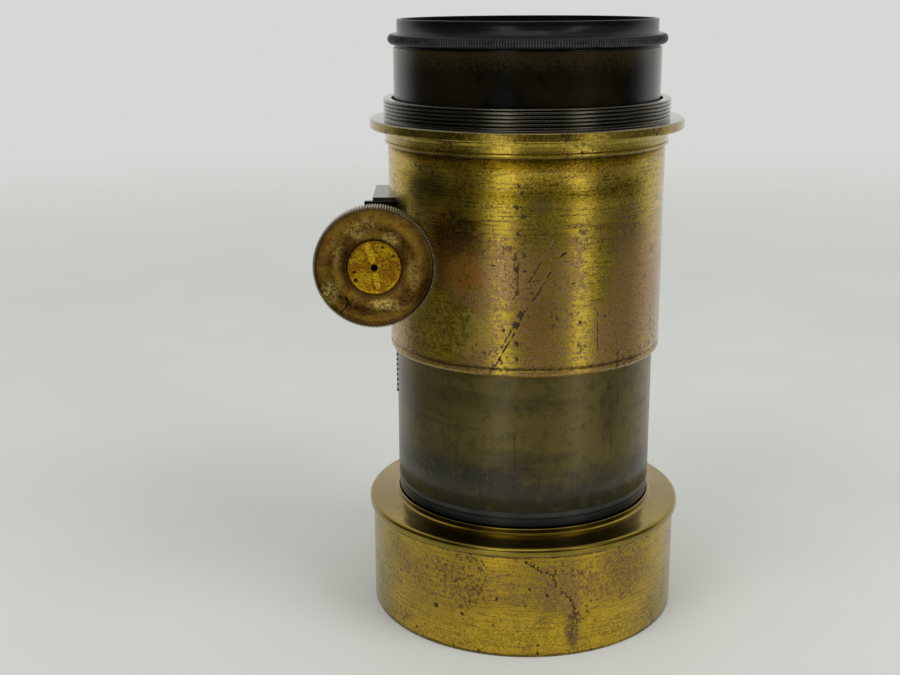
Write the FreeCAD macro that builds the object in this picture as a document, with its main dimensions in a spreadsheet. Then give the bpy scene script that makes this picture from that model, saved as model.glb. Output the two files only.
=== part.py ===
import FreeCAD, Part
import math
import os
import re

import Sketcher
from FreeCAD import Placement, Rotation, Vector

# Rack-and-pinion projection lens standing on its hood.
# Frame: origin at the centre of the hood's rim, +Z up along the optical axis,
# rack and pinion on the -X side, focusing knob facing -Y. Lengths in mm.
# Of the optics, "front" is the lower end, at the hood, and "rear" the upper end.
# Of the pinion's bearing plates, "front" is the knob side, -Y, and "rear" is +Y.
# A distance "from the axis" is measured from the optical axis.

doc = FreeCAD.newDocument("projection_lens")
sheet = doc.addObject("Spreadsheet::Sheet", "Dims")

# alias, value or formula, note. _rad is a radius, _low and _top are heights,
# _half is half a width or length.
DIMENSIONS = [
    # shared allowances
    ("overrun", 1.00, "how far a cutting tool runs past a piece"),
    ("short_run", 0.50, "the same for screwdriver slots and bearing plate holes"),
    ("screw_gap", 0.03, "clearance round a screw and round the rack"),
    ("tap_spare", 0.20, "depth of a screw hole beyond the screw's end"),
    # draw tube, the long inner tube that carries both cells
    ("tube_rad", 34.44, "draw tube outside radius"),
    ("tube_bore", 32.60, "draw tube inside radius"),
    ("tube_low", 36.84, "draw tube lower end"),
    ("tube_top", 151.46, "draw tube upper end"),
    # hood
    ("hood_rad", 41.67, "hood tube outside radius"),
    ("hood_bore", 40.50, "hood tube inside radius"),
    ("hood_len", 28.00, "hood tube length"),
    ("hood_plate_rad", 42.72, "hood plate outside radius"),
    ("hood_plate_top", 31.00, "hood plate top at the middle"),
    ("hood_plate_edge", 30.40, "hood plate top at its rounded edge"),
    ("hood_plate_bore", 33.05, "hood plate bore round the front cell"),
    ("spigot_rad", 40.45, "hood plate spigot that fits in the tube"),
    ("spigot_low", 25.00, "spigot lower end"),
    ("spigot_bore", 38.60, "spigot inside radius"),
    ("bead_rad", 34.90, "raised bead round the front cell"),
    ("bead_top", 32.20, "bead top"),
    # front cell
    ("front_ring_rad", 34.30, "front cell ring outside radius"),
    ("front_ring_low", 32.70, "front cell ring lower face"),
    ("front_groove_mid", 35.10, "groove round the front cell ring"),
    ("front_groove_deep", 33.95, "radius at the bottom of that groove"),
    ("front_cell_rad", 33.00, "front cell barrel outside radius"),
    ("front_cell_bore", 31.00, "front cell bore, seat of the front lenses"),
    ("front_cell_low", 18.00, "front cell lower end"),
    ("front_cell_seat", 34.00, "front cell shoulder"),
    ("front_cell_clear", 29.80, "front cell clear radius"),
    ("front_spigot_rad", 32.55, "front cell spigot in the draw tube"),
    ("front_spigot_top", 42.00, "front cell spigot upper end"),
    # front lenses
    ("glass_rad", 30.90, "radius of every lens"),
    ("front_crown_low", 19.50, "front crown lower vertex"),
    ("front_crown_top", 30.48, "front crown upper vertex"),
    ("front_crown_curve_low", 130.0, "front crown lower curve"),
    ("front_crown_curve_top", 100.0, "front crown upper curve"),
    ("front_flint_low", 30.50, "front flint lower vertex"),
    ("front_flint_top", 33.98, "front flint upper face"),
    ("front_flint_curve_low", "=front_crown_curve_top", "front flint lower curve"),
    ("retainer_rad", 30.95, "outside radius of both retaining rings"),
    ("front_retainer_bore", 29.00, "front retaining ring bore"),
    ("front_retainer_low", 20.20, "front retaining ring lower face"),
    ("front_retainer_top", 22.70, "front retaining ring upper face"),
    # rear cell
    ("rear_shoulder_rad", 33.90, "rear cell shoulder on the draw tube"),
    ("knurl_low", 152.00, "knurled bead lower side"),
    ("knurl_top", 154.85, "knurled bead upper side"),
    ("knurl_root", 34.60, "radius where the bead's round side starts"),
    ("knurl_curve", 1.44, "radius of the bead's round side"),
    ("rim_rad", 33.46, "rear cell rim outside radius"),
    ("rim_top", 158.40, "rear cell rim top"),
    ("rim_bore", 32.70, "rear cell mouth radius"),
    ("rim_floor", 156.20, "floor of the mouth"),
    ("rear_cell_rad", 32.55, "rear cell barrel outside radius"),
    ("rear_cell_low", 130.00, "rear cell lower end"),
    ("rear_cell_seat", 133.00, "rear cell shoulder for the flint"),
    ("rear_cell_bore", 31.00, "rear cell bore"),
    ("rear_cell_clear", 29.50, "rear cell clear radius"),
    # rear lenses
    ("rear_flint_low", 131.05, "rear flint lower vertex"),
    ("rear_flint_top", 134.05, "rear flint upper vertex"),
    ("rear_flint_curve_low", 220.0, "rear flint lower curve"),
    ("rear_flint_curve_top", 75.0, "rear flint upper curve, hollow"),
    ("spacer_bore", 29.60, "spacer ring bore"),
    ("spacer_low", 140.75, "spacer ring lower face"),
    ("spacer_top", 143.20, "spacer ring upper face"),
    ("rear_crown_low", 138.25, "rear crown lower vertex"),
    ("rear_crown_top", 149.75, "rear crown upper vertex"),
    ("rear_crown_curve_low", 90.0, "rear crown lower curve"),
    ("rear_crown_curve_top", 160.0, "rear crown upper curve"),
    ("rear_retainer_bore", 29.30, "rear retaining ring bore"),
    ("rear_retainer_low", 147.10, "rear retaining ring lower face"),
    ("rear_retainer_top", 150.10, "rear retaining ring upper face"),
    ("retainer_bevel", 0.70, "bevel of the rear retaining ring's bore"),
    ("retainer_slot_half", 0.60, "half width of the slots in that ring"),
    ("retainer_slot_deep", 1.00, "depth of those slots"),
    # outer sleeve
    ("sleeve_rad", 36.10, "sleeve outside radius"),
    ("sleeve_bore", 34.50, "sleeve bore, running on the draw tube"),
    ("sleeve_low", 73.07, "sleeve lower end"),
    ("groove_mid", 75.10, "bottom of the turned groove"),
    ("groove_half", 0.35, "half width of the turned groove"),
    ("groove_deep", 35.70, "radius at the bottom of the groove"),
    ("sleeve_step", 126.90, "where the sleeve enters the collar"),
    ("sleeve_top", 136.00, "sleeve upper end inside the collar"),
    ("sleeve_neck", 35.55, "sleeve radius inside the collar"),
    ("keyway_deep", 34.95, "keyway floor, distance from the axis"),
    ("keyway_half", 3.30, "half width of the keyway"),
    ("window_half", 3.00, "half width of the window in the sleeve"),
    ("window_low", 95.20, "window lower edge"),
    ("window_top", 105.60, "window upper edge"),
    # threaded collar
    ("collar_bore", 35.60, "collar bore on the sleeve"),
    ("collar_mouth", 35.10, "collar bore above the sleeve"),
    ("neck_low_rad", 36.30, "collar neck radius, lower end"),
    ("neck_top_rad", 37.40, "collar neck radius under the flange"),
    ("flange_low", 131.16, "flange lower face"),
    ("flange_top", 133.54, "flange upper face"),
    ("flange_rad", 40.78, "flange outside radius"),
    ("thread_rad", 37.23, "mounting thread major radius"),
    ("thread_top", 138.67, "mounting thread upper end"),
    # rack and pinion teeth
    ("gear_module", 0.45, "module of rack and pinion"),
    ("pressure_angle", 20, "pressure angle in degrees"),
    ("pinion_teeth", 20, "teeth on the pinion"),
    ("tooth_thin", 0.05, "thinning of the pinion teeth for backlash"),
    ("rack_tip", 34.75, "rack tooth tips, distance from the axis"),
    ("rack_root", "=rack_tip - 2.25 * gear_module", "rack tooth roots, from the axis"),
    ("rack_pitch", "=pi * gear_module", "tooth pitch"),
    ("rack_gap_low", 60.8159, "middle of the lowest tooth gap"),
    ("rack_gaps", 42, "number of tooth gaps"),
    ("gap_open", 0.05, "how far the gap outline reaches past the tips"),
    ("gap_tip_half", "=rack_pitch / 4 + (gear_module + gap_open) * tan(pressure_angle)",
     "half width of a gap just beyond the tips"),
    ("gap_root_half", "=rack_pitch / 4 - 1.25 * gear_module * tan(pressure_angle)",
     "half width of a gap at its root"),
    ("pinion_x", "=rack_tip - gear_module + gear_module * pinion_teeth / 2",
     "distance of the pinion axis from the optical axis"),
    ("pinion_z", 100.40, "height of the pinion axis"),
    # rack body
    ("rack_low", 59.60, "rack lower end"),
    ("rack_top", 119.60, "rack upper end"),
    ("rack_half", 2.50, "half width of the rack"),
    ("rib_inset", 0.60, "how far the rib reaches inside the tube bore"),
    ("slot_half", "=rack_half + screw_gap", "half width of the slot in the draw tube"),
    ("slot_low", "=rack_low - screw_gap", "slot lower end"),
    ("slot_top", "=rack_top + screw_gap", "slot upper end"),
    ("rack_screw_low", 56.50, "lower rack screw height"),
    ("rack_screw_top", 122.70, "upper rack screw height"),
    ("foot_end", 3.00, "length of the foot beyond a rack screw"),
    ("foot_half", 4.50, "half width of the rack's foot inside the tube"),
    ("foot_inner", 30.90, "inner face of the foot"),
    ("foot_gap", 0.05, "clearance of the foot in the tube bore"),
    ("foot_low", "=rack_screw_low - foot_end", "foot lower end"),
    ("foot_top", "=rack_screw_top + foot_end", "foot upper end"),
    ("rack_screw_rad", 0.95, "rack screw shank radius"),
    ("rack_screw_head", 1.70, "rack screw head radius"),
    ("rack_screw_face", 34.40, "rack screw head face"),
    ("rack_screw_taper", 0.75, "length of the rack screw's conical head"),
    ("rack_screw_sink", 0.80, "length of the conical seat for it"),
    ("rack_screw_hole", 6.00, "length of the tool for a rack screw hole"),
    # pinion housing
    ("saddle_half", 11.00, "half length of the saddle along the shaft"),
    ("saddle_low", 87.30, "saddle lower face"),
    ("saddle_top", 114.20, "saddle upper face"),
    ("saddle_out", 39.90, "saddle outer face, distance from the axis"),
    ("block_inset", 4.00, "reach of the saddle and plate blanks inside the sleeve bore"),
    ("cover_out", 45.30, "cover outer face, distance from the axis"),
    ("cover_half", 7.50, "half height of the cover"),
    ("cover_round", 3.50, "rounding of the cover's outer edges"),
    ("cavity_rad", 5.30, "cavity round the pinion"),
    ("cavity_half", 2.80, "half length of the cavity"),
    ("bearing_rad", 2.04, "bearing radius for the pinion shaft"),
    ("mouth_trim", 0.02, "how much less the saddle's open mouth is than the bearing"),
    ("plate_thick", 1.50, "thickness of the bearing plates"),
    ("plate_gap", 0.02, "clearance of the bearing plates on the sleeve"),
    ("plate_out", 42.00, "bearing plates outer edge, distance from the axis"),
    ("front_plate_low", 87.80, "front bearing plate lower end"),
    ("front_plate_top", 113.50, "front bearing plate upper end"),
    ("rear_plate_low", 91.90, "rear bearing plate lower end"),
    ("rear_plate_top", 108.90, "rear bearing plate upper end"),
    # screws of the housing
    ("cover_screw_side", 8.00, "cover screws, distance from the middle"),
    ("cover_screw_rise", 4.80, "cover screws above and below the shaft"),
    ("cover_screw_rad", 0.90, "cover screw shank radius"),
    ("cover_screw_head", 1.60, "cover screw head radius"),
    ("cover_screw_seat", 44.00, "cover screw head seat, distance from the axis"),
    ("cover_screw_end", 37.20, "cover screw end, distance from the axis"),
    ("cover_screw_bore", 3.00, "length of the tool for a cover screw's head"),
    ("saddle_screw_side", 6.50, "saddle screws, distance from the middle"),
    ("saddle_screw_rise", 9.80, "saddle screws above and below the shaft"),
    ("saddle_screw_rad", 0.90, "saddle screw shank radius"),
    ("saddle_screw_head", 1.50, "saddle screw head radius"),
    ("saddle_screw_face", 34.20, "saddle screw head face, distance from the axis"),
    ("saddle_screw_end", 38.40, "saddle screw end, distance from the axis"),
    ("saddle_screw_taper", 0.60, "length of the saddle screw's conical head"),
    ("saddle_screw_sink", 0.65, "length of the conical seat for it"),
    ("saddle_screw_mouth", 1.50, "length of the tool inside that seat"),
    ("plate_screw_x", 38.00, "plate screws, distance from the axis"),
    ("plate_screw_rise", 6.80, "plate screws above and below the shaft"),
    ("plate_screw_rad", 0.80, "plate screw shank radius"),
    ("plate_screw_head", 1.40, "plate screw head radius"),
    ("plate_screw_deep", 4.20, "plate screw length below the head"),
    ("head_thick", 0.90, "thickness of a round screw head"),
    ("driver_half", 0.20, "half width of a screwdriver slot"),
    ("driver_deep", 0.45, "depth of a screwdriver slot"),
    ("driver_reach", 2.00, "half length of the tool for a screwdriver slot"),
    # pinion shaft, hub and knob; places along Y are distances from the middle
    ("shaft_rad", 2.00, "pinion shaft radius"),
    ("shaft_back", 12.30, "rear end of the shaft"),
    ("shaft_front", 26.00, "front end of the shaft"),
    ("gear_half", 2.50, "half width of the pinion teeth"),
    ("hub_neck", 4.00, "hub neck radius"),
    ("hub_back", 13.10, "hub rear face"),
    ("hub_bore", 2.01, "hub bore radius"),
    ("hub_blind", 26.10, "end of the hub bore"),
    ("hub_stem", 5.00, "hub stem radius through the knob"),
    ("hub_head", 6.70, "hub head radius"),
    ("hub_shoulder", 30.60, "underside of the hub head"),
    ("hub_face", 32.75, "face of the hub head"),
    ("hub_centre", 0.60, "lathe centre radius in the hub face"),
    ("hub_centre_deep", 31.60, "bottom of the lathe centre"),
    ("knob_rad", 15.00, "knob radius"),
    ("knob_back", 27.90, "knob rear face"),
    ("knob_face", 32.90, "knob rim face"),
    ("knob_lip", 14.30, "inner radius of the rim lip"),
    ("knob_bore", 5.03, "knob bore on the hub stem"),
    ("knob_seat", 7.00, "radius of the recess round the hub head"),
    ("knob_recess", 30.55, "floor of the recess under the hub head"),
    ("knob_inner", 31.90, "face beside the hub head"),
    ("knob_dish", 31.20, "floor of the hollow face"),
    ("knob_dish_in", 9.30, "inner radius of the hollow"),
    ("knob_dish_out", 12.20, "outer radius of the hollow"),
    ("knob_lip_low", 32.20, "foot of the rim lip"),
    ("knob_pin_rad", 0.70, "pin radius"),
    ("knob_pin_at", 17.00, "pin distance from the middle"),
    ("knob_pin_half", 3.90, "half length of the pin"),
    ("pin_gap", 0.02, "clearance round the pin"),
    ("pin_hole_half", 6.00, "half length of the tool for the pin's hole"),
]

for row, (alias, value, note) in enumerate(DIMENSIONS, start=1):
    sheet.set("A%d" % row, alias)
    sheet.set("B%d" % row, str(value))
    sheet.set("C%d" % row, note)
    sheet.setAlias("B%d" % row, alias)
doc.recompute()


# ---------------------------------------------------------------- expressions
# Sizes and places are passed as strings: sums of sheet aliases and numbers.
TOKEN = re.compile(r"([+-]?)\s*([A-Za-z_]\w*|\d+\.?\d*)")


def val(expr):
    """Value of a sum of sheet cells and numbers."""
    total = 0.0
    for sign, word in TOKEN.findall(expr):
        size = float(word) if word[0].isdigit() else float(sheet.get(word))
        total += -size if sign == "-" else size
    return total


def bind(obj, prop, expr):
    """Drive a property by the same sum, written as an expression on the sheet."""
    obj.setExpression(prop, re.sub(r"[A-Za-z_]\w*", lambda m: "Dims." + m.group(0), expr))


# ---------------------------------------------------------------- sketches
def origin_part(body, role):
    return [f for f in body.Origin.OriginFeatures if f.Role == role][0]


def new_body(label):
    body = doc.addObject("PartDesign::Body", label + "_body")
    body.Label = label
    return body


def new_sketch(body, plane, name):
    sketch = body.newObject("Sketcher::SketchObject", name)
    sketch.AttachmentSupport = (origin_part(body, plane), [""])
    sketch.MapMode = "FlatFace"
    return sketch


def drive(sketch, name, expr, kind, *where):
    """Add a dimension to the sketch and bind it to the sheet."""
    index = sketch.addConstraint(Sketcher.Constraint(kind, *where, val(expr)))
    sketch.renameConstraint(index, name)
    bind(sketch, "Constraints." + name, expr)


def fix_point(sketch, edge, end, x, y, name):
    """Hold one sketch point at (x, y) from the origin."""
    # A zero distance is held by putting the point on the axis, -2 or -1.
    for expr, kind, axis, suffix in ((x, "DistanceX", -2, "x"), (y, "DistanceY", -1, "y")):
        if expr == "0":
            sketch.addConstraint(Sketcher.Constraint("PointOnObject", edge, end, axis))
        else:
            drive(sketch, name + suffix, expr, kind, -1, 1, edge, end)


def add_arc(sketch, first, middle, last):
    """Add the arc first-middle-last anticlockwise; returns its two end ids."""
    through = Part.Arc(first, middle, last).toShape().Curve
    centre, radius = through.Center, through.Radius
    turn = 2.0 * math.pi

    def angle(point):
        return math.atan2(point.y - centre.y, point.x - centre.x) % turn

    start, half_way, finish = angle(first), angle(middle), angle(last)
    onward = (half_way - start) % turn < (finish - start) % turn
    begin, stop = (start, finish) if onward else (finish, start)
    if stop < begin:
        stop += turn
    circle = Part.Circle(centre, Vector(0, 0, 1), radius)
    sketch.addGeometry(Part.ArcOfCircle(circle, begin, stop), False)
    return (1, 2) if onward else (2, 1)


def add_loop(sketch, corners, middles):
    """Closed loop through the corners; an edge whose number is in middles is an
    arc through that point. Returns the start and end ids of every edge."""
    count = len(corners)
    ends = []
    for i in range(count):
        first, last = corners[i], corners[(i + 1) % count]
        if i in middles:
            ends.append(add_arc(sketch, first, middles[i], last))
        else:
            sketch.addGeometry(Part.LineSegment(first, last), False)
            ends.append((1, 2))
    for i in range(count):
        j = (i + 1) % count
        sketch.addConstraint(Sketcher.Constraint("Coincident", i, ends[i][1], j, ends[j][0]))
    return ends


def outline(sketch, points):
    """Closed outline. A point is (x, y), or (x, y, radius, side) when an arc
    leads from it to the next point; side 1 bulges to the left of travel."""
    corners = [Vector(val(point[0]), val(point[1]), 0) for point in points]
    arcs = [i for i, point in enumerate(points) if len(point) > 2]
    middles = {}
    for i in arcs:
        first, last = corners[i], corners[(i + 1) % len(corners)]
        radius, side = val(points[i][2]), points[i][3]
        chord = last - first
        left = Vector(-chord.y, chord.x, 0).normalize()
        rise = radius - math.sqrt(max(radius ** 2 - (chord.Length / 2) ** 2, 0.0))
        middles[i] = (first + last) * 0.5 + left * (side * rise)
    ends = add_loop(sketch, corners, middles)
    for i in arcs:
        drive(sketch, "arc%d" % i, points[i][2], "Radius", i)
    for i, point in enumerate(points):
        fix_point(sketch, i, ends[i][0], point[0], point[1], "p%d" % i)


def rectangle(x_first, x_last, y_first, y_last):
    return [(x_first, y_first), (x_last, y_first), (x_last, y_last), (x_first, y_last)]


# ---------------------------------------------------------------- body features
def revolve(body, sketch, label):
    """Full turn about the sketch's vertical axis."""
    feature = body.newObject("PartDesign::Revolution", label + "_turned")
    feature.Profile = sketch
    feature.ReferenceAxis = (sketch, ["V_Axis"])
    feature.Angle = 360.0
    doc.recompute()


def turned(label, points, plane="XZ_Plane"):
    """Turned piece. The outline's columns are radius and place along the axis."""
    body = new_body(label)
    sketch = new_sketch(body, plane, label + "_profile")
    outline(sketch, points)
    revolve(body, sketch, label)
    return body


def lens(kind, low_side, top_side):
    """A lens: spherical faces about the optical axis, edge at glass_rad.
    A side of 1 bulges outwards, -1 is hollow, 0 is flat."""
    label = kind + "_lens"
    low, top = kind + "_low", kind + "_top"
    low_curve, top_curve = kind + "_curve_low", kind + "_curve_top"
    edge = val("glass_rad")

    def sag(curve, side, radius):
        if side == 0:
            return 0.0
        return side * (val(curve) - math.sqrt(val(curve) ** 2 - radius * radius))

    def on_low(radius):
        return Vector(radius, val(low) + sag(low_curve, low_side, radius), 0)

    def on_top(radius):
        return Vector(radius, val(top) - sag(top_curve, top_side, radius), 0)

    body = new_body(label)
    sketch = new_sketch(body, "XZ_Plane", label + "_profile")
    # edges of the loop: 0 on the axis, 1 upper face, 2 rim, 3 lower face
    middles = {}
    if top_side:
        middles[1] = on_top(edge / 2)
    if low_side:
        middles[3] = on_low(edge / 2)
    add_loop(sketch, [on_low(0), on_top(0), on_top(edge), on_low(edge)], middles)
    fix_point(sketch, 0, 1, "0", low, "low")
    fix_point(sketch, 0, 2, "0", top, "top")
    sketch.addConstraint(Sketcher.Constraint("Vertical", 2))
    drive(sketch, "edge", "glass_rad", "DistanceX", -1, 1, 2, 1)
    for face, side, curve in ((1, top_side, top_curve), (3, low_side, low_curve)):
        if side:
            sketch.addConstraint(Sketcher.Constraint("PointOnObject", face, 3, -2))
            drive(sketch, "curve%d" % face, curve, "Radius", face)
        else:
            sketch.addConstraint(Sketcher.Constraint("Horizontal", face))
    revolve(body, sketch, label)
    return body


def pocket(body, plane, points, name, length=None):
    """Cut an outline out of a body, both ways through all when no length is given."""
    doc.recompute()
    sketch = new_sketch(body, plane, name + "_sketch")
    outline(sketch, points)
    feature = body.newObject("PartDesign::Pocket", name)
    feature.Profile = sketch
    if length is None:
        feature.Type = 1
        feature.Midplane = True
    else:
        bind(feature, "Length", length)
    doc.recompute()
    return feature


# ---------------------------------------------------------------- solids
AXES = {
    "+Z": Rotation(),
    "+X": Rotation(Vector(0, 1, 0), 90),
    "-X": Rotation(Vector(0, 1, 0), -90),
    "+Y": Rotation(Vector(1, 0, 0), -90),
    "-Y": Rotation(Vector(1, 0, 0), 90),
}


def put(obj, x, y, z, axis="+Z"):
    obj.Placement = Placement(Vector(val(x), val(y), val(z)), AXES[axis])
    bind(obj, "Placement.Base.x", x)
    bind(obj, "Placement.Base.y", y)
    bind(obj, "Placement.Base.z", z)
    return obj


def box(name, x, y, z, length, width, height):
    obj = doc.addObject("Part::Box", name)
    bind(obj, "Length", length)
    bind(obj, "Width", width)
    bind(obj, "Height", height)
    return put(obj, x, y, z)


def rod(name, x, y, z, axis, radius, length):
    obj = doc.addObject("Part::Cylinder", name)
    bind(obj, "Radius", radius)
    bind(obj, "Height", length)
    return put(obj, x, y, z, axis)


def cone(name, x, y, z, axis, first, second, length):
    obj = doc.addObject("Part::Cone", name)
    bind(obj, "Radius1", first)
    bind(obj, "Radius2", second)
    bind(obj, "Height", length)
    return put(obj, x, y, z, axis)


def fuse(name, pieces):
    obj = doc.addObject("Part::MultiFuse", name)
    obj.Shapes = pieces
    return obj


def cut(name, base, tools, label=None):
    tool = fuse(name + "_tools", tools) if len(tools) > 1 else tools[0]
    obj = doc.addObject("Part::Cut", name)
    obj.Base = base
    obj.Tool = tool
    if label:
        obj.Label = label
    return obj


def group(label, pieces):
    obj = doc.addObject("Part::Compound", label + "_set")
    obj.Links = pieces
    obj.Label = label
    return obj


# ---------------------------------------------------------------- screws
# A screw's shank runs along axis, one of +X, -X, +Y and -Y.
def driver_slot(name, face, axis):
    """Horizontal slot tool in the head face, whose centre is at face."""
    along = "XY".index(axis[1])
    across = 1 - along
    corner, size = list(face), ["", "", "driver_half + driver_half"]
    corner[along] += " - short_run" if axis[0] == "+" else " - driver_deep"
    size[along] = "driver_deep + short_run"
    corner[across] += " - driver_reach"
    size[across] = "driver_reach + driver_reach"
    corner[2] += " - driver_half"
    return box(name + "_slot", *corner, *size)


def sunk_screw(name, face, axis, kind, length):
    """Countersunk screw with the centre of its slotted face at face."""
    head, shank = kind + "_head", kind + "_rad"
    whole = fuse(name + "_whole", [
        cone(name + "_head", *face, axis, head, shank, kind + "_taper"),
        rod(name + "_shank", *face, axis, shank, length),
    ])
    return cut(name + "_cut", whole, [driver_slot(name, face, axis)])


def round_screw(name, seat, axis, kind, length):
    """Cheese-head screw with the underside of its head at seat."""
    back = ("-" if axis[0] == "+" else "+") + axis[1]
    whole = fuse(name + "_whole", [
        rod(name + "_head", *seat, back, kind + "_head", "head_thick"),
        rod(name + "_shank", *seat, axis, kind + "_rad", length),
    ])
    face = list(seat)
    face["XY".index(axis[1])] += " %s head_thick" % back[0]
    return cut(name + "_cut", whole, [driver_slot(name, face, axis)])


# ---------------------------------------------------------------- hood
def hood_tube():
    return turned("hood_tube", rectangle("hood_bore", "hood_rad", "0", "hood_len"))


def hood_plate():
    return turned("hood_plate", [
        ("hood_plate_bore", "hood_len - 1.0"),
        ("spigot_bore", "hood_len - 1.0"),
        ("spigot_bore", "spigot_low"),
        ("spigot_rad", "spigot_low"),
        ("spigot_rad", "hood_len"),
        ("hood_plate_rad - 0.35", "hood_len"),
        ("hood_plate_rad", "hood_len + 0.35"),
        ("hood_plate_rad", "hood_plate_edge - 0.90"),
        ("hood_plate_rad - 0.30", "hood_plate_edge - 0.28"),
        ("hood_plate_rad - 0.95", "hood_plate_edge"),
        ("bead_rad", "hood_plate_top"),
        ("bead_rad", "bead_top - 0.55"),
        ("bead_rad - 0.20", "bead_top - 0.15"),
        ("bead_rad - 0.55", "bead_top"),
        ("hood_plate_bore", "bead_top"),
    ])


# ---------------------------------------------------------------- front cell
def front_cell():
    return turned("front_cell", [
        ("front_cell_bore", "front_cell_low"),
        ("front_cell_rad", "front_cell_low"),
        ("front_cell_rad", "front_ring_low"),
        ("front_ring_rad - 0.20", "front_ring_low"),
        ("front_ring_rad", "front_ring_low + 0.20"),
        ("front_ring_rad", "front_groove_mid - 0.28"),
        ("front_groove_deep", "front_groove_mid - 0.10"),
        ("front_groove_deep", "front_groove_mid + 0.10"),
        ("front_ring_rad", "front_groove_mid + 0.28"),
        ("front_ring_rad", "tube_low"),
        ("front_spigot_rad", "tube_low"),
        ("front_spigot_rad", "front_spigot_top"),
        ("front_cell_clear + 0.60", "front_spigot_top"),
        ("front_cell_clear", "front_cell_seat + 2.0"),
        ("front_cell_clear", "front_cell_seat"),
        ("front_cell_bore", "front_cell_seat"),
    ])


def front_crown_lens():
    return lens("front_crown", 1, 1)


def front_flint_lens():
    return lens("front_flint", -1, 0)


def front_retaining_ring():
    return turned("front_retaining_ring", rectangle(
        "front_retainer_bore", "retainer_rad", "front_retainer_low", "front_retainer_top"))


# ---------------------------------------------------------------- draw tube and rack
RACK_SCREWS = (("low", "rack_screw_low"), ("top", "rack_screw_top"))


def drawtube():
    """Tube with a slot for the rack and two countersunk holes in its -X side."""
    tube = turned("drawtube_blank", rectangle("tube_bore", "tube_rad", "tube_low", "tube_top"))
    pocket(tube, "YZ_Plane", rectangle("-slot_half", "slot_half", "slot_low", "slot_top"),
           "rack_slot", length="sleeve_rad")
    shank, head = "rack_screw_rad + screw_gap", "rack_screw_head + screw_gap"
    tools = []
    for tag, z in RACK_SCREWS:
        tools += [
            rod("tube_hole_" + tag, "-foot_inner + overrun + overrun", "0", z, "-X",
                shank, "rack_screw_hole"),
            cone("tube_sink_" + tag, "-rack_screw_face + rack_screw_sink", "0", z, "-X",
                 shank, head, "rack_screw_sink"),
            rod("tube_mouth_" + tag, "-rack_screw_face", "0", z, "-X", head, "overrun"),
        ]
    return cut("drawtube_cut", tube, tools, "drawtube")


def rack_rib():
    """Toothed rib that stands in the slot of the draw tube."""
    rib = new_body("rack_rib")
    sketch = new_sketch(rib, "XY_Plane", "rack_rib_section")
    sketch.AttachmentOffset = Placement(Vector(0, 0, val("rack_low")), Rotation())
    bind(sketch, "AttachmentOffset.Base.z", "rack_low")
    outline(sketch, rectangle("-rack_tip", "-tube_bore + rib_inset", "-rack_half", "rack_half"))
    pad = rib.newObject("PartDesign::Pad", "rack_rib_pad")
    pad.Profile = sketch
    bind(pad, "Length", "rack_top - rack_low")
    gap = pocket(rib, "XZ_Plane", [
        ("-rack_tip - gap_open", "rack_gap_low - gap_tip_half"),
        ("-rack_root", "rack_gap_low - gap_root_half"),
        ("-rack_root", "rack_gap_low + gap_root_half"),
        ("-rack_tip - gap_open", "rack_gap_low + gap_tip_half"),
    ], "rack_gap")
    pattern = rib.newObject("PartDesign::LinearPattern", "rack_teeth")
    pattern.Originals = [gap]
    pattern.Direction = (origin_part(rib, "Z_Axis"), [""])
    pattern.Occurrences = int(val("rack_gaps"))
    pattern.setExpression("Occurrences", "Dims.rack_gaps")
    pattern.setExpression("Length", "(Dims.rack_gaps - 1) * Dims.rack_pitch")
    rib.Tip = pattern
    doc.recompute()
    return rib


def rack():
    """The rib and a wider foot that lies inside the draw tube."""
    rib = rack_rib()
    foot = doc.addObject("Part::Common", "rack_foot")
    foot.Base = box("rack_foot_bar", "-tube_rad", "-foot_half", "foot_low",
                    "tube_rad - foot_inner", "foot_half + foot_half", "foot_top - foot_low")
    foot.Tool = rod("rack_foot_round", "0", "0", "foot_low", "+Z", "tube_bore - foot_gap",
                    "foot_top - foot_low")
    holes = [rod("rack_hole_" + tag, "-foot_inner + overrun", "0", z, "-X",
                 "rack_screw_rad + screw_gap", "rack_screw_hole")
             for tag, z in RACK_SCREWS]
    return cut("rack_cut", fuse("rack_fuse", [rib, foot]), holes, "rack")


def rack_screws():
    return group("rack_screws", [
        sunk_screw("rack_screw_" + tag, ("-rack_screw_face", "0", z), "+X", "rack_screw",
                   "rack_screw_face - foot_inner")
        for tag, z in RACK_SCREWS])


# ---------------------------------------------------------------- rear cell
def rear_cell():
    return turned("rear_cell", [
        ("rear_cell_clear", "rear_cell_low"),
        ("rear_cell_rad", "rear_cell_low"),
        ("rear_cell_rad", "tube_top"),
        ("rear_shoulder_rad", "tube_top"),
        ("rear_shoulder_rad", "knurl_low"),
        ("knurl_root", "knurl_low", "knurl_curve", -1),
        ("knurl_root", "knurl_top"),
        ("rear_cell_bore", "knurl_top"),
        ("rear_cell_bore", "rear_cell_seat"),
        ("rear_cell_clear", "rear_cell_seat"),
    ])


def rear_cell_rim():
    """Plain rim, apart from the cell so that its collision leaves the cap seat free."""
    return turned("rear_cell_rim", [
        ("rear_cell_bore", "knurl_top"),
        ("rim_rad", "knurl_top"),
        ("rim_rad", "rim_top - 0.15"),
        ("rim_rad - 0.15", "rim_top"),
        ("rim_bore + 0.10", "rim_top"),
        ("rim_bore", "rim_top - 0.10"),
        ("rim_bore", "rim_floor"),
        ("rear_cell_bore", "rim_floor - 0.80"),
    ])


def rear_flint_lens():
    return lens("rear_flint", 1, -1)


def rear_spacer_ring():
    return turned("rear_spacer_ring",
                  rectangle("spacer_bore", "glass_rad", "spacer_low", "spacer_top"))


def rear_crown_lens():
    return lens("rear_crown", 1, 1)


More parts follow.
